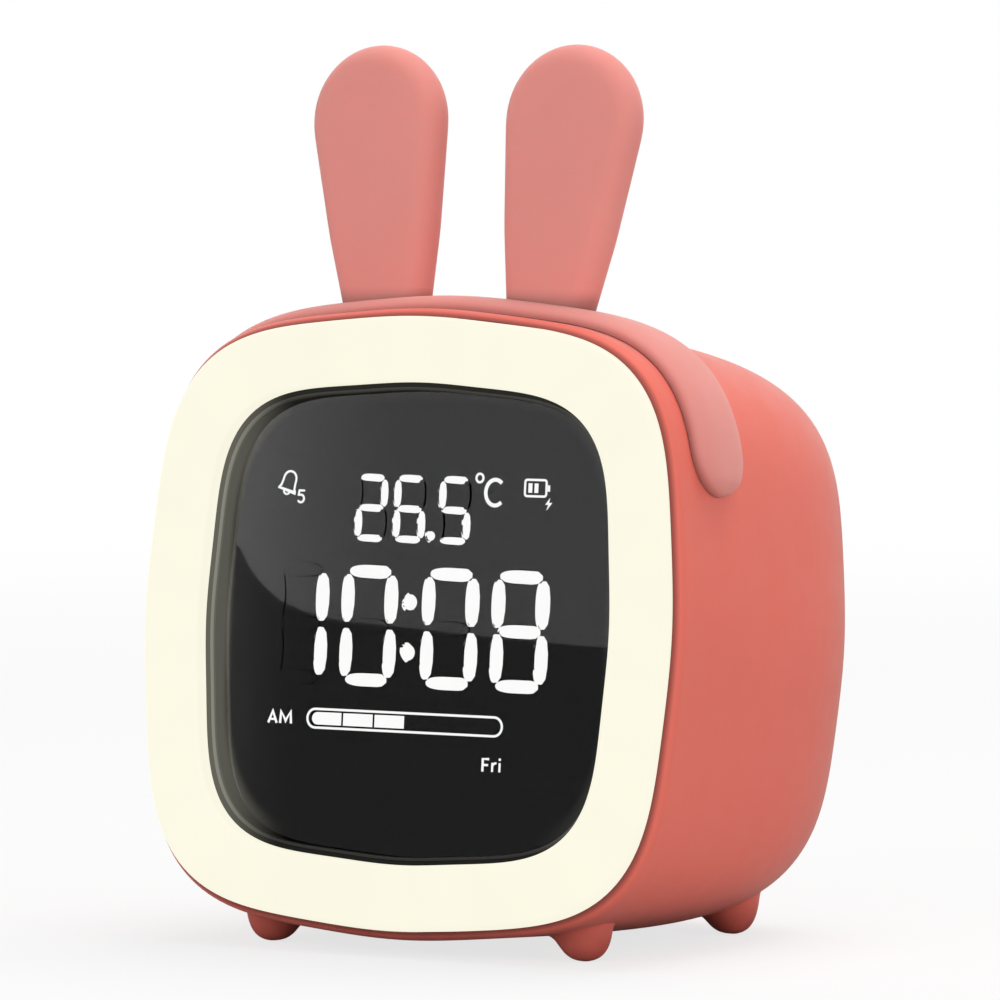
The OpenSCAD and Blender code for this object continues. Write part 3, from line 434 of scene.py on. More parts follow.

# painted shade in the seam round the ring and near the table at the feet, and a paler painted sheen where the
# side turns away
paintedShadeAndSheen = {"from": 0.0017, "to": 0.0027, "depth": 0.75, "low": 0.46, "floorShadeTo": 0.009,
        "color": (0.16, 0.035, 0.028, 1), "paintedSheen": 0.7, "sheenFrom": 0.56, "sheenColor": (0.7, 0.265, 0.225, 1)}


def paintShadeAndSheen(material):
    tree = material.node_tree
    base = tree.nodes["Principled BSDF"].inputs["Base Color"]
    at = objectPlace(tree)
    frontMiddle, rearward = (0, place["caseY"] / 1000, faceZ), (0, cosT, -sinT)
    behind = add(tree, "VectorMath", {0: at, 1: frontMiddle}, operation="SUBTRACT").outputs[0]
    depth = add(tree, "VectorMath", {0: behind, 1: rearward}, operation="DOT_PRODUCT").outputs["Value"]
    # painted shade in the seam just behind the ring's front
    near = ease(tree, depth, paintedShadeAndSheen["from"], paintedShadeAndSheen["to"], paintedShadeAndSheen["depth"], 0.0)
    # painted shade near the table, over the feet and the case's underside
    low = ease(tree, split(tree, at)["Z"], 0.0, paintedShadeAndSheen["floorShadeTo"], paintedShadeAndSheen["low"], 0.0)
    # painted sheen: paler towards grazing, standing in for a broad highlight
    facing = add(tree, "LayerWeight", {"Blend": 0.5}).outputs["Facing"]
    paintedSheen = ease(tree, facing, paintedShadeAndSheen["sheenFrom"], 1.0, 0.0, paintedShadeAndSheen["paintedSheen"])
    withSheen = mixColor(tree, paintedSheen, base.links[0].from_socket, paintedShadeAndSheen["sheenColor"])
    tree.links.new(mixColor(tree, larger(tree, near, low), withSheen, paintedShadeAndSheen["color"]), base)


paintShadeAndSheen(coral)
paint(shell, coral)
print("case built")

ring = {"half": 49.0, "edge": 0.9, "depth": 7.1, "skirt": 47.6, "plate": 2.0, "window": 38.5, "inner": 0.5,
        "end": 2.65, "innerSkirt": 1.2, "power": 3.9, "blend": 0.15, "glow": (0.93, 0.905, 0.752, 1),
        "strength": 0.991, "strengthHidden": 0.05, "ledCount": 24.0, "ledBeat": 0.003, "middleZ": 0.053}


def ringStations():
    r, front = ring, case["frontPower"]
    bend = np.linspace(0, quarterTurn, 9)
    inner = [(r["window"] + r["inner"] * (1 - cos(a)), r["inner"] * (1 - sin(a)), r["power"])
             for a in bend]
    outer = [(r["half"] - r["edge"] * (1 - sin(a)), r["edge"] * (1 - cos(a)), front) for a in bend]
    skirt = r["window"] + r["innerSkirt"]
    flat = [(inner[-1][0] + r["blend"], 0, r["power"]), (outer[0][0] - r["blend"], 0, front)]
    return inner + flat + outer + [
        (r["half"], r["depth"], front), (r["skirt"], r["depth"], front), (r["skirt"], r["plate"], front),
        (skirt, r["plate"], r["power"]), (skirt, r["end"], r["power"]), (r["window"], r["end"], r["power"])]


def diffuserMaterial():  # milky, with a faint beat from the LEDs behind it
    material = plastic("diffuserGlow", (0.06, 0.058, 0.05), 0.36, 5200.0, 0.03, 0.05, 0.0, bump=0.06)
    tree = material.node_tree
    bsdf = tree.nodes["Principled BSDF"]
    at = objectPlace(tree)
    cloud = noise(tree, at, 40.0, 3.0)
    parts = split(tree, at)
    angle = calc(tree, "ARCTAN2", calc(tree, "SUBTRACT", parts["Z"], ring["middleZ"]), parts["X"])
    beat = calc(tree, "COSINE", times(tree, angle, ring["ledCount"]))
    value = plus(tree, times(tree, beat, ring["ledBeat"]), spread(tree, cloud, 0.3, 0.7, 0.985, 1.0))
    glow = add(tree, "HueSaturation", {"Color": ring["glow"], "Value": value}).outputs[0]
    path = add(tree, "LightPath").outputs
    shown = larger(tree, path["Is Camera Ray"], path["Is Glossy Ray"])
    strength = spread(tree, shown, 0.0, 1.0, ring["strengthHidden"], ring["strength"])
    fill(tree, bsdf, {"Emission Color": glow, "Emission Strength": strength, "Specular IOR Level": 0.15})
    return material


ringPiece = makeMesh("diffuserRing", [loft(ringStations())], 35)
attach(ringPiece, "case")
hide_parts("diffuser_ring")
paint(ringPiece, diffuserMaterial())

bezel = {"w": 1.3, "set": 3.5, "front": 3.0, "wall": 1.1, "lens": 40.0, "rear": 4.75, "fit": 0.15,
         "bead": 0.26, "beadFrom": 0.95, "beadRise": 0.05}


def bezelStations():
    b = bezel
    opening, inside = ring["window"] - b["w"], b["lens"] + b["fit"]
    outside = inside + b["wall"]
    return [(half, depth, ring["power"]) for half, depth in (
        (opening, b["set"]), (opening + 0.08, b["set"] - 0.1), (opening + 0.5, b["front"] + 0.05),
        (opening + 0.6, b["front"]), (outside, b["front"]), (outside, b["rear"]),
        (inside, b["rear"]), (inside, b["set"]))]


def beadStations():
    b = bezel
    half, depth = ring["window"] - b["beadFrom"], b["front"] + b["beadRise"]
    return [(half + b["bead"] * cos(a), depth + b["bead"] * sin(a), ring["power"])
            for a in around(24)]


bezelPiece = makeMesh("windowBezel", [loft(bezelStations())], 35)
beadPiece = makeMesh("windowBead", [loft(beadStations())], 60)
for piece in (bezelPiece, beadPiece):
    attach(piece, "case")
    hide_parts("window_bezel")

# painted glow, the ring's light painted inwards as emission: its strength on each piece, where it fades in mm
# from the edge, where it sets in towards the sides, and its shares on the right and from the middle to the
# top
paintedGlow = {"color": (1.0, 0.98, 0.8, 1), "bezel": 0.115, "bead": 0.21, "plate": 0.112,
            "half": 38.2, "power": 3.9, "all": (90.0, 91.0), "plateFade": (1.5, 3.7),
            "side": (0.58, 0.95), "right": 0.3, "top": (0.01, 0.11)}


# mask of the painted glow: near the window's edge, most on the left side and at the top
def paintedGlowGroup():
    g = paintedGlow
    tree, given, out = newGroup("paintedEdgeGlow", [("From", "Float", 0.0), ("To", "Float", 1.0)],
                                [("Value", "Float")])
    parts = split(tree, objectPlace(tree))
    height = calc(tree, "SUBTRACT", parts["Z"], faceZ)
    across, rise = [calc(tree, "ABSOLUTE", times(tree, way, 1000 / g["half"]))
                    for way in (parts["X"], height)]
    total = plus(tree, calc(tree, "POWER", across, g["power"]), calc(tree, "POWER", rise, g["power"]))
    inside = times(tree, calc(tree, "SUBTRACT", 1.0, calc(tree, "POWER", total, 1 / g["power"])), g["half"])
    near = ease(tree, inside, given["From"], given["To"], 1.0, 0.0)
    side = ease(tree, across, *g["side"])
    onLeft = spread(tree, parts["X"], 0.001, -0.001, g["right"], 1.0)
    onTop = spread(tree, parts["Z"], faceZ - 0.005, faceZ + 0.02, *g["top"])
    share = larger(tree, times(tree, side, onLeft), onTop)
    fill(tree, out, {"Value": times(tree, near, share)})
    return tree


paintedGlowTree = paintedGlowGroup()


def addPaintedGlow(material, strength, fade):
    tree = material.node_tree
    paintedSpill = useGroup(tree, paintedGlowTree, From=fade[0], To=fade[1])["Value"]
    fill(tree, tree.nodes["Principled BSDF"],
         {"Emission Color": paintedGlow["color"], "Emission Strength": times(tree, paintedSpill, strength)})
    return material


bezelMatt = plastic("bezelMatt", (0.008, 0.008, 0.007), 0.6, 2600.0, 0.1, 0.1, 0.0, bump=0.05,
                    shader={"Specular IOR Level": 0.12})
beadGloss = plastic("beadGloss", (0.012, 0.011, 0.01), 0.3, 2600.0, 0.2, 0.1, 0.0, bump=0.1,
                    shader={"Specular IOR Level": 0.35})
# bezel and bead glow with the painted light of the ring
paint(bezelPiece, addPaintedGlow(bezelMatt, paintedGlow["bezel"], paintedGlow["all"]))
paint(beadPiece, addPaintedGlow(beadGloss, paintedGlow["bead"], paintedGlow["all"]))

window = {"tint": (0.82, 0.82, 0.825, 1), "dust": (0.6, 0.6, 0.58, 1), "ior": 1.03, "smudge": 0.1}
plate = {"dark": (0.0025, 0.0025, 0.003, 1), "light": (0.004, 0.004, 0.004, 1), "ior": 1.9, "smudge": 0.3}


def windowMaterial():
    material, tree, bsdf = newMaterial("smokedWindow")
    touch = useGroup(tree, smudges, Amount=window["smudge"])
    tint = mixColor(tree, times(tree, touch["Dust"], 0.3), window["tint"], window["dust"])
    fill(tree, bsdf, {"Base Color": tint, "Roughness": plus(tree, touch["Roughness"], 0.01),
                            "Transmission Weight": 1.0, "IOR": window["ior"]})
    return material


def plateMaterial():  # the black plate behind the window carries the gloss
    material, tree, bsdf = newMaterial("plateGloss")
    touch = useGroup(tree, smudges, Amount=plate["smudge"])
    shade = mixColor(tree, noise(tree, objectPlace(tree), 90.0, 3.0), plate["dark"], plate["light"])
    fill(tree, bsdf, {"Base Color": shade, "Roughness": plus(tree, touch["Roughness"], 0.012),
                            "IOR": plate["ior"]})
    # the plate glows with the painted light of the ring near its edges
    return addPaintedGlow(material, paintedGlow["plate"], paintedGlow["plateFade"])


paint(nodes["display_window"], windowMaterial())
print("front parts built")

# the display lies in the block's cells; places are x and height on the face
display = {"front": 5.05, "rear": 8.45, "unlitSet": 0.01, "unlitGrow": 0.1,
           "signFront": 4.99, "signRear": 5.04, "light": (1.0, 0.995, 0.985, 1),
           "lightLow": (0.97, 0.97, 0.96, 1), "strength": 1.2, "dark": (0.006, 0.006, 0.006, 1),
           "darkLow": (0.003, 0.003, 0.0035, 1), "ior": 1.9}
timeDigits = {"show": (1, 0, 0, 8), "x": -1.5, "v": -0.6, "w": 10.25, "h": 19.5, "stroke": 2.12,
              "pitch": 13.0, "split": (-1.1, -1.1, 1.1, 1.1)}
smallDigits = {"show": (2, 6, 5), "x": -2.4, "v": 18.33, "w": 5.86, "h": 10.92, "stroke": 1.18,
               "pitch": 7.18, "split": (0, 0, 1.22)}
colon = {"x": -1.5, "upper": (5.0, 1.7), "lower": (-3.0, -6.2), "w": 2.45}
point = {"x": 1.78, "top": 15.1, "bottom": 13.05, "w": 1.55}
levelBar = {"from": -19.0, "length": 35.6, "cells": 6, "lit": 3, "v": -15.8, "half": 1.0, "gap": 0.2,
            "frameFrom": -18.05, "frameTo": 15.55, "frameR": 1.5, "frameLine": 0.38}
sevenParts = {0: "abcdef", 1: "bc", 2: "abged", 5: "afgcd", 6: "afgedc", 8: "abcdefg"}


def lens(cx, cy, length, stroke, upright, steps=28):
    a = (np.arange(steps) + 0.5) * 2 * pi / steps
    r = superR(a, 2.5)
    along, across = length / 2 * r * np.cos(a), stroke / 2 * r * np.sin(a)
    if upright:
        along, across = -across, along
    return [(cx + p, cy + q) for p, q in zip(along, across)]


def sevenSegment(cx, cy, w, h, stroke):
    rise, side = (h - stroke) / 2, (w - stroke) / 2
    flat, tall = w - stroke * 1.3, rise - stroke * 0.45
    across = {"a": rise, "g": 0, "d": -rise}
    upright = {"f": (-side, rise), "b": (side, rise), "e": (-side, -rise), "c": (side, -rise)}
    made = {key: lens(cx, cy + v, flat, stroke, False) for key, v in across.items()}
    made.update({key: lens(cx + x, cy + v / 2, tall, stroke, True) for key, (x, v) in upright.items()})
    return made


def teardrop(cx, top, bottom, wide, roundTop, steps=32):
    outline = []
    for i in range(steps):
        a = 2 * pi * i / steps
        t = cos(a)
        fat = sin(a) * (0.5 + 0.5 * abs(sin(a))) * (1 - 0.28 * t)
        v = (1 - t) / 2 if roundTop else (1 + t) / 2
        outline.append((cx + fat * wide / 2 / 0.98 * (1 if roundTop else -1), bottom + (top - bottom) * v))
    return outline


def plates(outlines, front, rear, grow=0.0):
    made = []
    for outline in outlines:
        p = np.array(outline, float)
        away = p - p.mean(0)
        p = p + grow * away / np.maximum(np.linalg.norm(away, axis=1), 1e-6)[:, None]
        made.append(prism([tuple(q) for q in p], front, rear))
    return made


def barCell(i):  # the first and the last cell have a round end
    b = levelBar
    step = b["length"] / b["cells"]
    left = b["from"] + i * step + b["gap"]
    right = left + step - 2 * b["gap"]
    low, high = b["v"] - b["half"], b["v"] + b["half"]
    if i not in (0, b["cells"] - 1):
        return [(left, low), (right, low), (right, high), (left, high)]
    end, cx = (1, left + b["half"]) if i == 0 else (-1, right - b["half"])
    cap = [(cx - end * b["half"] * sin(a), b["v"] + end * b["half"] * cos(a))
           for a in np.linspace(0, pi, 13)]
    return cap + ([(right, low), (right, high)] if i == 0 else [(left, high), (left, low)])


lit, unlit = [], []
for d in (timeDigits, smallDigits):
    for i, digit in enumerate(d["show"]):
        cx = d["x"] + (i - (len(d["show"]) - 1) / 2) * d["pitch"] + d["split"][i]
        for key, outline in sevenSegment(cx, d["v"], d["w"], d["h"], d["stroke"]).items():
            (lit if key in sevenParts[digit] else unlit).append(outline)
lit.append(teardrop(colon["x"], *colon["upper"], colon["w"], False))
lit.append(teardrop(colon["x"], *colon["lower"], colon["w"], True))
lit.append(teardrop(point["x"], point["top"], point["bottom"], point["w"], True))
for i in range(levelBar["cells"]):
    (lit if i < levelBar["lit"] else unlit).append(barCell(i))


def segmentMaterial(name, lightIt):
    material, tree, bsdf = newMaterial(name)
    cloud = noise(tree, objectPlace(tree), 300.0, 3.0)
    fill(tree, bsdf, {"Base Color": mixColor(tree, cloud, display["dark"], display["darkLow"]),
                            "Roughness": 0.015, "IOR": display["ior"]})
    if lightIt:
        path = add(tree, "LightPath").outputs
        shown = larger(tree, path["Is Camera Ray"], path["Is Transmission Ray"])
        glow = mixColor(tree, spread(tree, cloud, 0.3, 0.7), display["light"], display["lightLow"])
        fill(tree, bsdf, {"Specular IOR Level": 0.0, "Emission Color": glow,
                                "Emission Strength": times(tree, shown, display["strength"])})
    return material


litGlow, darkCell = segmentMaterial("segmentLit", True), segmentMaterial("segmentDark", False)
litPiece = makeMesh("segmentsLit", plates(lit, display["front"], display["rear"]), 30)
unlitFront = display["front"] - display["unlitSet"]
darkPiece = makeMesh("segmentsUnlit", plates(unlit, unlitFront, display["rear"], display["unlitGrow"]), 30)
paint(litPiece, litGlow)
paint(darkPiece, darkCell)
for piece in (litPiece, darkPiece):
    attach(piece, "case")
    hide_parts("digit_segments")


def arc(cx, cy, rx, ry, fromDeg, toDeg, steps=28):
    angles = np.radians(np.linspace(fromDeg, toDeg, steps))
    return [(cx + rx * cos(a), cy + ry * sin(a)) for a in angles]


def ribbon(line, width, closed=False, caps=True):  # a line of even width, as one plate for each stretch
    p = np.asarray(line, float)
    n = len(p)
    if closed:
        before, after = np.roll(p, 1, 0), np.roll(p, -1, 0)
    else:
        before, after = np.vstack([p[:1], p[:-1]]), np.vstack([p[1:], p[-1:]])
    way = after - before
    way /= np.linalg.norm(way, axis=1)[:, None]
    side = np.stack([-way[:, 1], way[:, 0]], 1)
    wide = np.full(n, width / 2)
    for i in range(n):
        if closed or 0 < i < n - 1:
            one = p[i] - before[i]
            one /= np.linalg.norm(one)
            wide[i] /= max(0.5, abs(side[i] @ np.array([-one[1], one[0]])))
    left, right = p + side * wide[:, None], p - side * wide[:, None]
    pieces = []
    for i in range(n if closed else n - 1):
        j = (i + 1) % n
        pieces.append([tuple(left[i]), tuple(left[j]), tuple(right[j]), tuple(right[i])])
    if not closed and caps:
        for at, toward in ((p[0], -way[0]), (p[-1], way[-1])):
            base = degrees(atan2(toward[1], toward[0]))
            pieces.append(arc(at[0], at[1], width / 2, width / 2, base - 90, base + 90, 9))
    return pieces


def turned(points, cx, cy, deg):
    c, s = cos(radians(deg)), sin(radians(deg))
    return [(cx + x * c - y * s, cy + x * s + y * c) for x, y in points]


def moved(points, x, v):
    return [(x + a, v + b) for a, b in points]


# the small signs; strokes are (points, line width), letters stand on their lower left corner
signs = {"shift": -0.1, "degree": (10.9, 23.6, 0.65, 0.68), "degreeLine": 0.38,
         "celsius": (13.85, 21.35, 1.75, 2.05), "celsiusLine": 0.62,
         "bell": (-25.45, 20.75, -16.4), "bellLine": 0.34, "clapperLine": 0.32,
         "bellSkirt": [(1.75, 0), (1.32, 0.45), (1.2, 1.3)],
         "five": [(-22.15, 20.75), (-23.05, 20.75), (-23.18, 19.92)], "fiveBowl": (-22.72, 19.45, 0.6, 0.62)}
battery = {"left": 19.75, "right": 22.9, "low": 21.35, "high": 23.15, "corner": 0.4, "line": 0.36,
           "charge": (19.98, 21.1), "chargeW": 0.7, "chargeV": (21.5, 23.0),
           "tip": [(23.75, 22.75), (23.75, 21.75)], "tipLine": 0.42}
bolt = {"top": (24.05, 20.75), "left": (23.2, 19.65), "inner": (23.78, 19.68), "low": (23.45, 18.75),
        "right": (24.5, 20.0), "outer": (23.9, 19.98)}
letters = {
    "A": (-27.0, -16.85, [([(0, 0), (0.8, 1.9), (1.6, 0)], 0.42), ([(0.28, 0.6), (1.32, 0.6)], 0.34)]),
    "M": (-24.75, -16.85, [([(0, 0), (0.15, 1.9), (1.05, 0.4), (1.95, 1.9), (2.1, 0)], 0.42)]),
    "F": (13.8, -22.95, [([(0, 0), (0, 2.0), (1.15, 2.0)], 0.4), ([(0, 1.05), (1.0, 1.05)], 0.36)]),
    "r": (15.6, -22.95, [([(0, 0), (0, 1.45)], 0.36), (arc(0.65, 0.85, 0.6, 0.55, 165, 80, 7), 0.34)]),
    "i": (16.95, -22.95, [([(0, 0), (0, 1.45)], 0.36)]),
}
letterDot = (16.95, -20.95, 0.22, 0.22)


def bellOutlines():
    x, v, tilt = signs["bell"]
    skirt = signs["bellSkirt"]
    body = [(-a, b) for a, b in skirt] + arc(0, 1.9, 1.18, 1.25, 175, 5, 14) + skirt[::-1]
    clapper = arc(0, -0.15, 0.55, 0.5, 200, 340, 8)
    return (ribbon(turned(body, x, v, tilt), signs["bellLine"], True)
            + ribbon(turned(clapper, x, v, tilt), signs["clapperLine"])
            + ribbon(signs["five"] + arc(*signs["fiveBowl"], 110, -140, 12), signs["bellLine"]))


def batteryOutlines():
    b = battery
    body = []
    for x, v, start in ((b["left"], b["high"], 180), (b["right"], b["high"], 90),
                        (b["right"], b["low"], 0), (b["left"], b["low"], 270)):
        body += arc(x, v, b["corner"], b["corner"], start, start - 90, 5)
    low, high = b["chargeV"]
    charge = [[(x, low), (x + b["chargeW"], low), (x + b["chargeW"], high), (x, high)] for x in b["charge"]]
    flash = [[bolt[key] for key in keys] for keys in (
        ("top", "left", "inner"), ("top", "inner", "outer"), ("outer", "inner", "low"),
        ("outer", "low", "right"))]
    return ribbon(body, b["line"], True) + ribbon(b["tip"], b["tipLine"], caps=False) + charge + flash


def signOutlines():
    b = levelBar
    out = ribbon(arc(*signs["degree"], 0, 346, 22), signs["degreeLine"], True)
    out += ribbon(arc(*signs["celsius"], 48, 312, 30), signs["celsiusLine"], caps=False)
    out += bellOutlines() + batteryOutlines()
    frameLine = arc(b["frameFrom"], b["v"], b["frameR"], b["frameR"], 90, 270, 18)
    frameLine += arc(b["frameTo"], b["v"], b["frameR"], b["frameR"], -90, 90, 18)
    out += ribbon(frameLine, b["frameLine"], True)
    for x, v, strokes in letters.values():
        for line, width in strokes:
            out += ribbon(moved(line, x, v), width, caps=False)
    out.append(arc(*letterDot, 0, 330, 12))
    return [moved(outline, signs["shift"], 0) for outline in out]


iconPiece = makeMesh("displayIcons", plates(signOutlines(), display["signFront"], display["signRear"]), 30)
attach(iconPiece, "case")
paint(iconPiece, litGlow)
print("display built")

band = {"w": 15.0, "t": 2.5, "set": 15.0, "gap": 0.1, "endV": 22.7, "profile": 48, "stations": 260,
        "nose": 22, "rise": 0.2, "sidePower": 0.7, "crownPower": 0.75, "color": (0.81, 0.308, 0.272),
        "rough": 0.56, "shade": (0.3, 0.12, 0.105, 1), "shadeDepth": 0.95, "reach": 0.0055, "shadeTop": 0.053,
        "scatter": (1.0, 0.35, 0.3), "scatterDepth": 0.004}
ear = {"top": 93.85, "r": 12.3, "rootR": 7.0, "t": 6.9, "dome": 0.25, "rootX": 15.05,
       "lean": radians(5.5), "set": 16.8, "rootV": 47.8, "waist": 0.5, "belly": 0.45,
       "outline": 220, "edge": 20, "seat": 0.5}


def bandPart():
    b = band
    degPerMm = 180 / (pi * hypot(case["half"], b["endV"]))
    first = degrees(atan2(b["endV"], case["half"]))
    endDeg = b["w"] / 2 * degPerMm
    nose = [endDeg * (1 - cos(t)) for t in np.linspace(0.04, quarterTurn, b["nose"])]
    middle = list(np.linspace(first + endDeg, 180 - first - endDeg, b["stations"]))[1:-1]
    angles = [first + n for n in nose] + middle + [180 - first - n for n in nose[::-1]]
    q = np.linspace(0, pi, b["profile"])
    rings = []
    for deg in angles:
        distance = (min(deg, 180 - deg) - first) / degPerMm
        wide = sqrt(max(0, 1 - max(0, 1 - distance / (b["w"] / 2)) ** 2))
        high = sqrt(max(0, 1 - max(0, 1 - distance / (b["t"] * 1.2)) ** 2))
        a = radians(deg)
        depth = b["set"] + wide * b["w"] / 2 * np.sign(np.cos(q)) * np.abs(np.cos(q)) ** b["sidePower"]
        half, power = caseHalf(depth) + b["gap"], sectionPower(depth)
        foot = (half * squircleR(a, power))[:, None] * np.array([[cos(a), sin(a)]])
        out = np.sign(foot) * np.abs(foot) ** (power[:, None] - 1)
        out /= np.linalg.norm(out, axis=1)[:, None]
        p = foot + (high * (b["t"] + b["rise"]) * np.clip(np.sin(q), 0, 1) ** b["crownPower"])[:, None] * out
        rings.append(np.stack([p[:, 0], depth, p[:, 1]], 1))
    steps, last = b["profile"], len(rings) - 1
    ends = [tuple(range(steps)), tuple(range(last * steps, (last + 1) * steps))]
    return np.concatenate(rings), gridFaces(len(rings), steps, False) + ends


def turnsLeft(a, b, c):
    return (b[0] - a[0]) * (c[1] - a[1]) - (b[1] - a[1]) * (c[0] - a[0]) > 0


def hullOf(points):
    points = sorted(map(tuple, points))
    chains = []
    for run in (points, points[::-1]):
        chain = []
        for p in run:
            while len(chain) > 1 and not turnsLeft(chain[-2], chain[-1], p):
                chain.pop()
            chain.append(p)
        chains.append(chain[:-1])
    return np.array(chains[0] + chains[1])


def earLength():
    return (ear["top"] - ear["r"] - ear["rootV"]) / cos(ear["lean"])


def earOutline():  # the hull of three discs, evened out and smoothed
    e = ear
    length = earLength()
    waistR = e["rootR"] + e["waist"] * (e["r"] - e["rootR"]) + e["belly"]
    discs = [(0, e["rootR"]), (e["waist"] * length, waistR), (length, e["r"])]
    a = np.linspace(0, 2 * pi, 360, endpoint=False)
    outline = hullOf(np.concatenate([np.stack([r * np.cos(a), at + r * np.sin(a)], 1) for at, r in discs]))
    closed = np.vstack([outline, outline[:1]])
    along = np.concatenate([[0], np.cumsum(np.linalg.norm(np.diff(closed, axis=0), axis=1))])
    t = np.linspace(0, along[-1], e["outline"], endpoint=False)
    even = np.stack([np.interp(t, along, closed[:, 0]), np.interp(t, along, closed[:, 1])], 1)
    for _ in range(10):
        even = 0.5 * even + 0.25 * (np.roll(even, 1, 0) + np.roll(even, -1, 0))
    return even


def earPart(side):
    e = ear
    outline = earOutline()
    way = np.roll(outline, -1, 0) - np.roll(outline, 1, 0)
    way /= np.linalg.norm(way, axis=1)[:, None]
    out = np.stack([way[:, 1], -way[:, 0]], 1)
    half = e["t"] / 2
    layers = []
    for a in np.linspace(-quarterTurn, quarterTurn, e["edge"]):
        layers.append((outline - out * half * (1 - cos(a)), half * sin(a)))
    spine = np.stack([np.zeros(len(outline)), np.clip(outline[:, 1], 0, earLength())], 1)
    faceSteps = [0.9, 0.75, 0.6, 0.45, 0.3, 0.15, 0.0]
    front = [(spine + (layers[0][0] - spine) * k, -half - e["dome"] * (1 - k * k)) for k in faceSteps[::-1]]
    back = [(spine + (layers[-1][0] - spine) * k, half + e["dome"] * (1 - k * k)) for k in faceSteps]
    rings = []
    c, s = cos(e["lean"]), sin(e["lean"])
    base = float(caseHalf(e["set"])) + e["seat"]
    for flat, depth in front + layers + back:
        x = e["rootX"] + flat[:, 0] * c + flat[:, 1] * s
        v = np.maximum(e["rootV"] - flat[:, 0] * s + flat[:, 1] * c, base)
        rings.append(np.stack([side * x, np.full(len(x), e["set"] + depth), v], 1))
    return np.concatenate(rings), gridFaces(len(rings), len(outline), False)


headband = makeMesh("earHeadband", [bandPart(), earPart(1), earPart(-1)], 60, weld=True)
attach(headband, "ear_headband")
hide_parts("ear_headband")


def siliconeMaterial():
    soft = {"Specular IOR Level": 0.3, "Sheen Weight": 0.12, "Sheen Roughness": 0.5,
            "Sheen Tint": (1, 0.8, 0.76, 1), "Subsurface Weight": 0.4,
            "Subsurface Radius": band["scatter"], "Subsurface Scale": band["scatterDepth"]}
    material = plastic("siliconePink", band["color"], band["rough"], 3000.0, 0.03, 0.0, 0.0,
                       shader=soft, bump=0.1)
    shadeContact(material, band["shade"], band["reach"], band["shadeDepth"], faceZ + band["shadeTop"])
    return material


paint(headband, siliconeMaterial())
print("headband built")

# the rear cover's screws, with cross recesses
coverScrews = {"at": 24.314, "tip": 68.2, "seat": 74.2, "top": 75.4, "shank": 1.3, "head": 2.3, "edge": 0.35,
               "arm": 1.35, "slot": 0.3, "floor": 74.6, "taper": 0.8, "reach": 0.0009,
               "shade": (0.07, 0.07, 0.07, 1)}
steelLook = {"color": (0.6, 0.6, 0.58), "rough": 0.3, "brush": 900.0, "bevel": 0.00015}


def crossR(a):
    turn = (a + pi / 4) % quarterTurn - pi / 4
    return min(coverScrews["arm"] / cos(turn), coverScrews["slot"] / max(abs(sin(turn)), 1e-6))


def screwPart(x, v):
    k = coverScrews
    corner = atan2(k["slot"], k["arm"])
    inArm = np.linspace(-corner, corner, 6)
    betweenArms = np.linspace(corner, quarterTurn - corner, 11)[1:-1]
    angles = [a + side * quarterTurn for side in range(4) for a in np.concatenate([inArm, betweenArms])]
    edge = [(k["head"] - k["edge"] * (1 - cos(a)), k["top"] - k["edge"] * (1 - sin(a)))
            for a in np.linspace(0, quarterTurn, 6)]
    rings = [(k["shank"], k["tip"]), (k["shank"], k["seat"]), (k["head"], k["seat"])] + edge
    levels = [([r] * len(angles), depth) for r, depth in rings]
    for scale, depth in ((1.0, k["top"]), (k["taper"], k["floor"])):
        levels.append(([scale * crossR(a) for a in angles], depth))
    points = [(x + r * cos(a), depth, v + r * sin(a))
              for radii, depth in levels for r, a in zip(radii, angles)]
    steps, last = len(angles), len(rings) + 1
    ends = [tuple(range(steps)), tuple(range(last * steps, (last + 1) * steps))]
    return points, gridFaces(last + 1, steps, False) + ends


def steel(name):
    look = steelLook
    return plated(name, look["color"], look["rough"], look["brush"], bevel=look["bevel"])


screwPlaces = (-coverScrews["at"], coverScrews["at"])
screwPiece = makeMesh("coverScrews", [screwPart(x, v) for x in screwPlaces for v in screwPlaces])
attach(screwPiece, "case")
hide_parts("rear_cover_screws")
coverSteel = steel("coverSteel")
shadeContact(coverSteel, coverScrews["shade"], coverScrews["reach"], 1.0)
paint(screwPiece, coverSteel)

# the buttons' signs: a clock, plus, minus and a sun
buttonMarks = {"front": 76.5, "rear": 76.55, "line": 0.46, "reach": 1.6, "longHand": 0.95,
               "shortHand": 0.75, "sun": 0.7, "rayFrom": 1.3, "rayTo": 1.9, "rays": 8,
               "color": (0.19, 0.16, 0.14), "v": -9.0, "at": {
                   "button_set": -18.0, "button_up": -6.0, "button_down": 6.0, "button_light": 18.0}}


def markOutlines(button, x, v):
    m = buttonMarks
    w, r = m["line"], m["reach"]
    if button == "button_set":
        hands = [(x, v + m["longHand"]), (x, v), (x - m["shortHand"], v)]
        return ribbon(arc(x, v, r, r, 0, 350, 36), w, True) + ribbon(hands, w)
    if button == "button_light":
        mark = ribbon(arc(x, v, m["sun"], m["sun"], 0, 345, 24), w, True)
        for a in around(m["rays"]):
            ray = [(x + far * cos(a), v + far * sin(a)) for far in (m["rayFrom"], m["rayTo"])]
            mark += ribbon(ray, w)
        return mark
    mark = ribbon([(x - r, v), (x + r, v)], w)
    if button == "button_up":
        for side in (1, -1):
            mark += ribbon([(x, v + side * w / 2), (x, v + side * r)], w, caps=False)
    return mark


markGrey = plastic("markGrey", buttonMarks["color"], 0.55, 3000.0, 0.05, 0.0, bump=0.1)
for button, x in buttonMarks["at"].items():
    outlines = markOutlines(button, x, buttonMarks["v"])
    mark = makeMesh(button + "Mark", plates(outlines, buttonMarks["front"], buttonMarks["rear"]))
    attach(mark, button)
    paint(mark, markGrey)
print("rear details built")
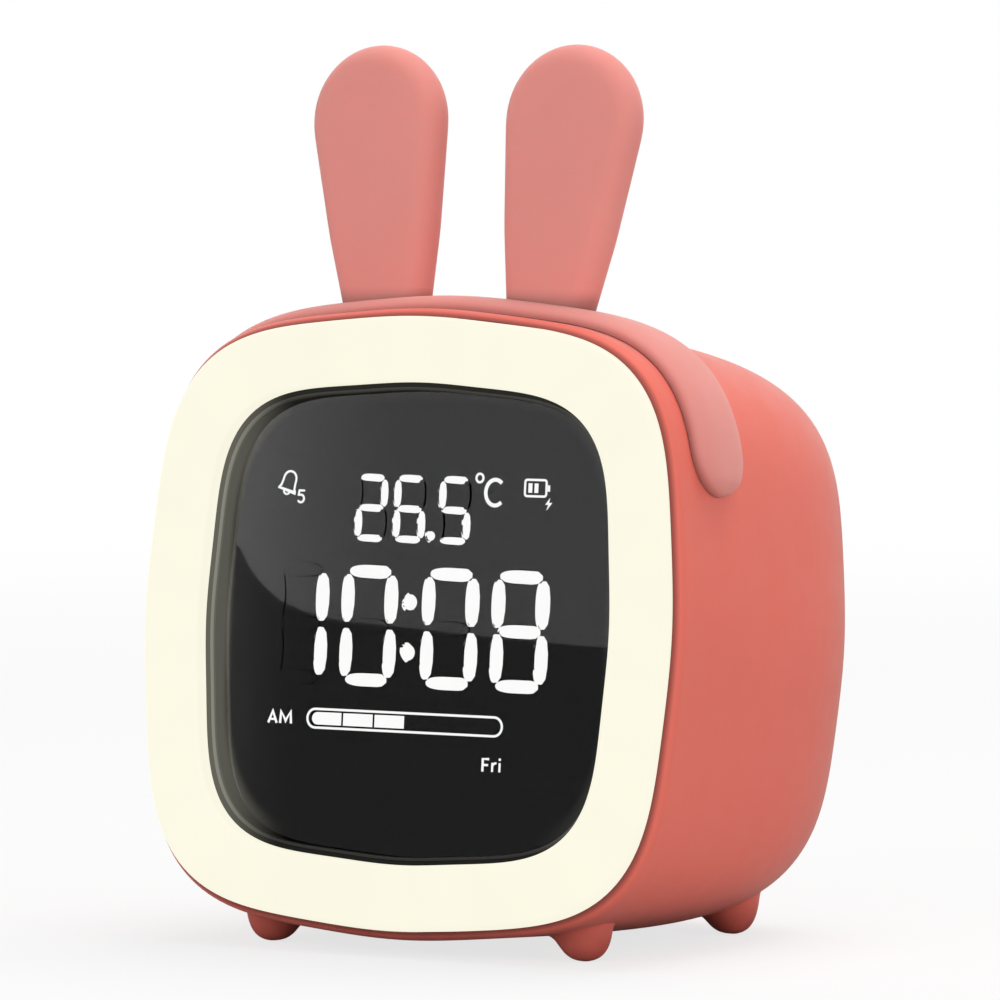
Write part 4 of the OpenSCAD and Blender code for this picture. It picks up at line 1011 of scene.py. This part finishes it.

# finishes of the pieces that keep their own meshes: colour, roughness, grain or brush, mottle, darkening near
# the table
finishes = {
    "rear_cover": plastic("coverCoral", case["color"], 0.5, 2400.0, 0.03, bump=0.3, bevel=0.0004,
                          shader={"Specular IOR Level": 0.35}),
    "speaker_grille": plastic("grilleCoral", (0.76, 0.185, 0.142), 0.5, 2400.0, 0.04, 0.3, bump=0.3,
                              bevel=0.0002, shader={"Specular IOR Level": 0.35}),
    "digit_block": plateMaterial(),
    "display_board": plastic("boardGreen", (0.02, 0.1, 0.04), 0.35),
    "front_frame": plastic("frameWhite", (0.8, 0.8, 0.78), 0.5),
    "light_board": plastic("boardWhite", (0.8, 0.8, 0.76), 0.35),
    "light_leds": plastic("ledAmber", (0.9, 0.66, 0.22), 0.2),
    "battery_cell": plated("cellFoil", (0.55, 0.57, 0.6), 0.38, 400.0),
    "battery_pad": plastic("padFoam", (0.5, 0.5, 0.47), 0.9, 1500.0, 0.15, bump=0.8, step=0.0002),
    "battery_lead": plastic("leadRed", (0.5, 0.02, 0.02), 0.4),
    "speaker_lead": plastic("leadBlack", (0.02, 0.02, 0.02), 0.4),
    "controller_chip": plastic("chipBlack", (0.012, 0.012, 0.013), 0.55, bump=0.3),
    "board_parts": plastic("partsBlue", (0.03, 0.04, 0.12), 0.25),
    "ribbon_sockets": plastic("socketCream", (0.72, 0.66, 0.5), 0.45),
    "ribbon_cable": plastic("ribbonGrey", (0.55, 0.55, 0.57), 0.35),
    "tact_switches": plastic("switchBlack", (0.03, 0.03, 0.034), 0.4),
    "usb_socket": plated("socketSteel", (0.66, 0.66, 0.67), 0.24, 1400.0, bevel=0.00015),
    "speaker_frame": plastic("speakerSteel", (0.1, 0.1, 0.11), 0.4),
    "speaker_cone": plastic("conePaper", (0.02, 0.02, 0.022), 0.85, 1800.0, 0.2, bump=0.6),
    "speaker_magnet": plated("magnetGrey", (0.2, 0.2, 0.21), 0.5, 600.0, 0.7),
    "temperature_sensor": plastic("sensorBlack", (0.01, 0.01, 0.01), 0.2),
}
screwSteel = steel("screwSteel")
buttonCream = plastic("buttonCream", (0.86, 0.78, 0.62), 0.4, 3200.0, 0.03, bump=0.2, bevel=0.0002,
                      shader={"Specular IOR Level": 0.4})
for name in ("display_board_screws", "front_frame_screws", "main_board_screws"):
    finishes[name] = screwSteel
for name in buttonMarks["at"]:
    finishes[name] = buttonCream
finishes["main_board"] = finishes["display_board"]
for name, material in finishes.items():
    paint(nodes[name], material)
print("materials set")

# the table fades to plain white away from the clock
table = {"half": 6, "near": 0.05, "far": 1.3, "lift": 0.74, "white": (0.9, 0.9, 0.9, 1),
         "whiteLow": (0.88, 0.88, 0.88, 1), "bounce": (0.5, 0.48, 0.47, 1)}


def tableMaterial():
    material, tree, bsdf = newMaterial("floorWhite")
    at = objectPlace(tree)
    away = add(tree, "VectorMath", {0: at}, operation="LENGTH").outputs["Value"]
    fade = spread(tree, away, table["near"], table["far"], table["lift"], 1.0, "SMOOTHERSTEP")
    seenByCamera = add(tree, "LightPath").outputs["Is Camera Ray"]
    glow = times(tree, fade, seenByCamera)
    white = mixColor(tree, noise(tree, at, 60.0, 3.0), table["white"], table["whiteLow"])
    pale = mixColor(tree, seenByCamera, table["bounce"], white)
    body = mixColor(tree, calc(tree, "SUBTRACT", 1.0, glow), (0, 0, 0, 1), pale)
    fill(tree, bsdf, {"Base Color": body, "Roughness": 0.9, "Specular IOR Level": 0.0,
                            "Emission Color": (1, 1, 1, 1), "Emission Strength": glow})
    return material


reach = table["half"]
floorMesh = bpy.data.meshes.new("floor")
corners = [(-reach, -reach, 0), (reach, -reach, 0), (reach, reach, 0), (-reach, reach, 0)]
floorMesh.from_pydata(corners, [], [(0, 1, 2, 3)])
floor = makeObject("floor", floorMesh)
paint(floor, tableMaterial())

cameraValues = {"at": (0.64306, -1.06489, 0.13491), "right": (0.8547, 0.5191, 0.0),
                "up": (-0.0266, 0.0438, 0.9987), "lens": 274.93, "sensor": 36, "clip": (0.05, 30)}
cameraData = bpy.data.cameras.new("camera")
cameraData.lens = cameraValues["lens"]
cameraData.sensor_width = cameraValues["sensor"]
cameraData.clip_start, cameraData.clip_end = cameraValues["clip"]
camera = makeObject("camera", cameraData)
rightWay = Vector(cameraValues["right"]).normalized()
backWay = rightWay.cross(Vector(cameraValues["up"])).normalized()
upWay = backWay.cross(rightWay)
turn = Matrix((rightWay, upWay, backWay)).transposed().to_4x4()
camera.matrix_world = Matrix.Translation(cameraValues["at"]) @ turn
scene.camera = camera

# what the window mirrors: a dark card, whose upper edge is the curve seen across the glass, before a lit one
mirror = {"curve": [(-48, 22), (-41, 17), (-34.1, 11), (-31.6, 7.2), (-29.1, 5), (-26.1, 3), (-22.1, 1.5),
                    (-17.6, 0.5), (-14.1, 0), (-4.1, -0.5), (15.9, -1.75), (35.9, -2.5), (48, -3)],
          "half": 48, "columns": 97, "depth": 3.55, "far": 0.9, "apart": 0.03, "low": -52.0, "high": 52.0,
          "dark": 0.18, "lit": 0.68, "left": 0.62, "leftFrom": -38, "leftTo": -4.0,
          "strip": 0.26, "stripFrom": -36.5, "stripTo": -20.0, "warm": (1.0, 0.98, 0.92)}


def hideFrom(obj, *rays):
    for ray in rays:
        setattr(obj, "visible_" + ray, False)


def cardLevel(x, lit):
    m = mirror
    leftward = np.clip((m["leftTo"] - x) / (m["leftTo"] - m["leftFrom"]), 0, 1)
    level = m["lit"] + m["left"] * leftward ** 1.5 if lit else m["dark"]
    strip = m["strip"] * np.clip((m["stripTo"] - x) / (m["stripTo"] - m["stripFrom"]), 0, 1) ** 2
    strip *= 0.5 if lit else 1.0
    return (*[level + strip * tone for tone in m["warm"]], 1)


def mirrorCard(name, lit, far):
    m = mirror
    eye = np.array(cameraValues["at"])
    normal = np.array([0.0, -cosT, sinT])

    def bounce(x, v):
        at = toRow([(x, m["depth"], v)])[0]
        way = at - eye
        way /= np.linalg.norm(way)
        return at, way - 2 * (way @ normal) * normal

    middle, axis = bounce(0, 0)
    centre = middle + axis * far
    curveX, curveV = np.array(m["curve"]).T
    columns = np.unique(np.concatenate([np.linspace(-m["half"], m["half"], m["columns"]), curveX]))
    points, shades = [], []
    for x in columns:
        for v in (m["high"] if lit else float(np.interp(x, curveX, curveV)), m["low"]):
            at, way = bounce(x, v)
            points.append(tuple(at + way * (((centre - at) @ axis) / (way @ axis))))
            shades.append(cardLevel(x, lit))
    mesh = bpy.data.meshes.new(name)
    mesh.from_pydata(points, [], [(2 * i, 2 * i + 1, 2 * i + 3, 2 * i + 2) for i in range(len(columns) - 1)])
    shadeLayer = mesh.color_attributes.new("shade", "FLOAT_COLOR", "POINT")
    shadeLayer.data.foreach_set("color", np.array(shades).ravel())
    card = makeObject(name, mesh)
    material, tree, bsdf = newMaterial(name)
    shade = add(tree, "Attribute", attribute_name="shade").outputs["Color"]
    fill(tree, bsdf, {"Base Color": (0, 0, 0, 1), "Specular IOR Level": 0.0,
                            "Emission Color": shade, "Emission Strength": 1.0})
    paint(card, material)
    hideFrom(card, "camera", "diffuse", "shadow", "volume_scatter")


mirrorCard("cardDark", False, mirror["far"])
mirrorCard("cardLit", True, mirror["far"] + mirror["apart"])

# each lamp: where it is, what it points at, its watts
lamps = {"topSoft": ((0.1, 0.24, 0.92), (0, 0, 0.06), 4.75),
         "rightSoft": ((1.0, -0.2, 0.16), (0, 0, 0.05), 3.65),
         "frontSoft": ((-0.2, -1.1, 0.35), (0, 0, 0.1), 4.6)}
lampWidth = 0.7


def softLamp(name, at, target, power):
    data = bpy.data.lights.new(name, "AREA")
    data.shape = "DISK"
    data.size = lampWidth
    data.energy = power
    lamp = makeObject(name, data)
    lamp.location = at
    lamp.rotation_euler = (Vector(target) - Vector(at)).to_track_quat("-Z", "Y").to_euler()
    hideFrom(lamp, "camera", "glossy", "transmission")


for name, (at, target, power) in lamps.items():
    softLamp(name, at, target, power)

roomLight = {"low": 0.22, "high": 0.5, "seen": (1, 1, 1, 1)}


def roomWorld():  # white where it is seen, softer from below where it only lights
    world = bpy.data.worlds.new("world")
    world.use_nodes = True
    tree = world.node_tree
    path = add(tree, "LightPath").outputs
    mirrored = larger(tree, path["Is Glossy Ray"], path["Is Transmission Ray"])
    seen = larger(tree, path["Is Camera Ray"], mirrored)
    rise = split(tree, add(tree, "TexCoord").outputs["Generated"])["Z"]
    soft = spread(tree, rise, -1.0, 1.0, roomLight["low"], roomLight["high"])
    fill(tree, tree.nodes["Background"],
         {"Color": mixColor(tree, seen, soft, roomLight["seen"]), "Strength": 1.0})
    return world


scene.world = roomWorld()
scene.view_settings.view_transform = "Standard"
print("stage set")
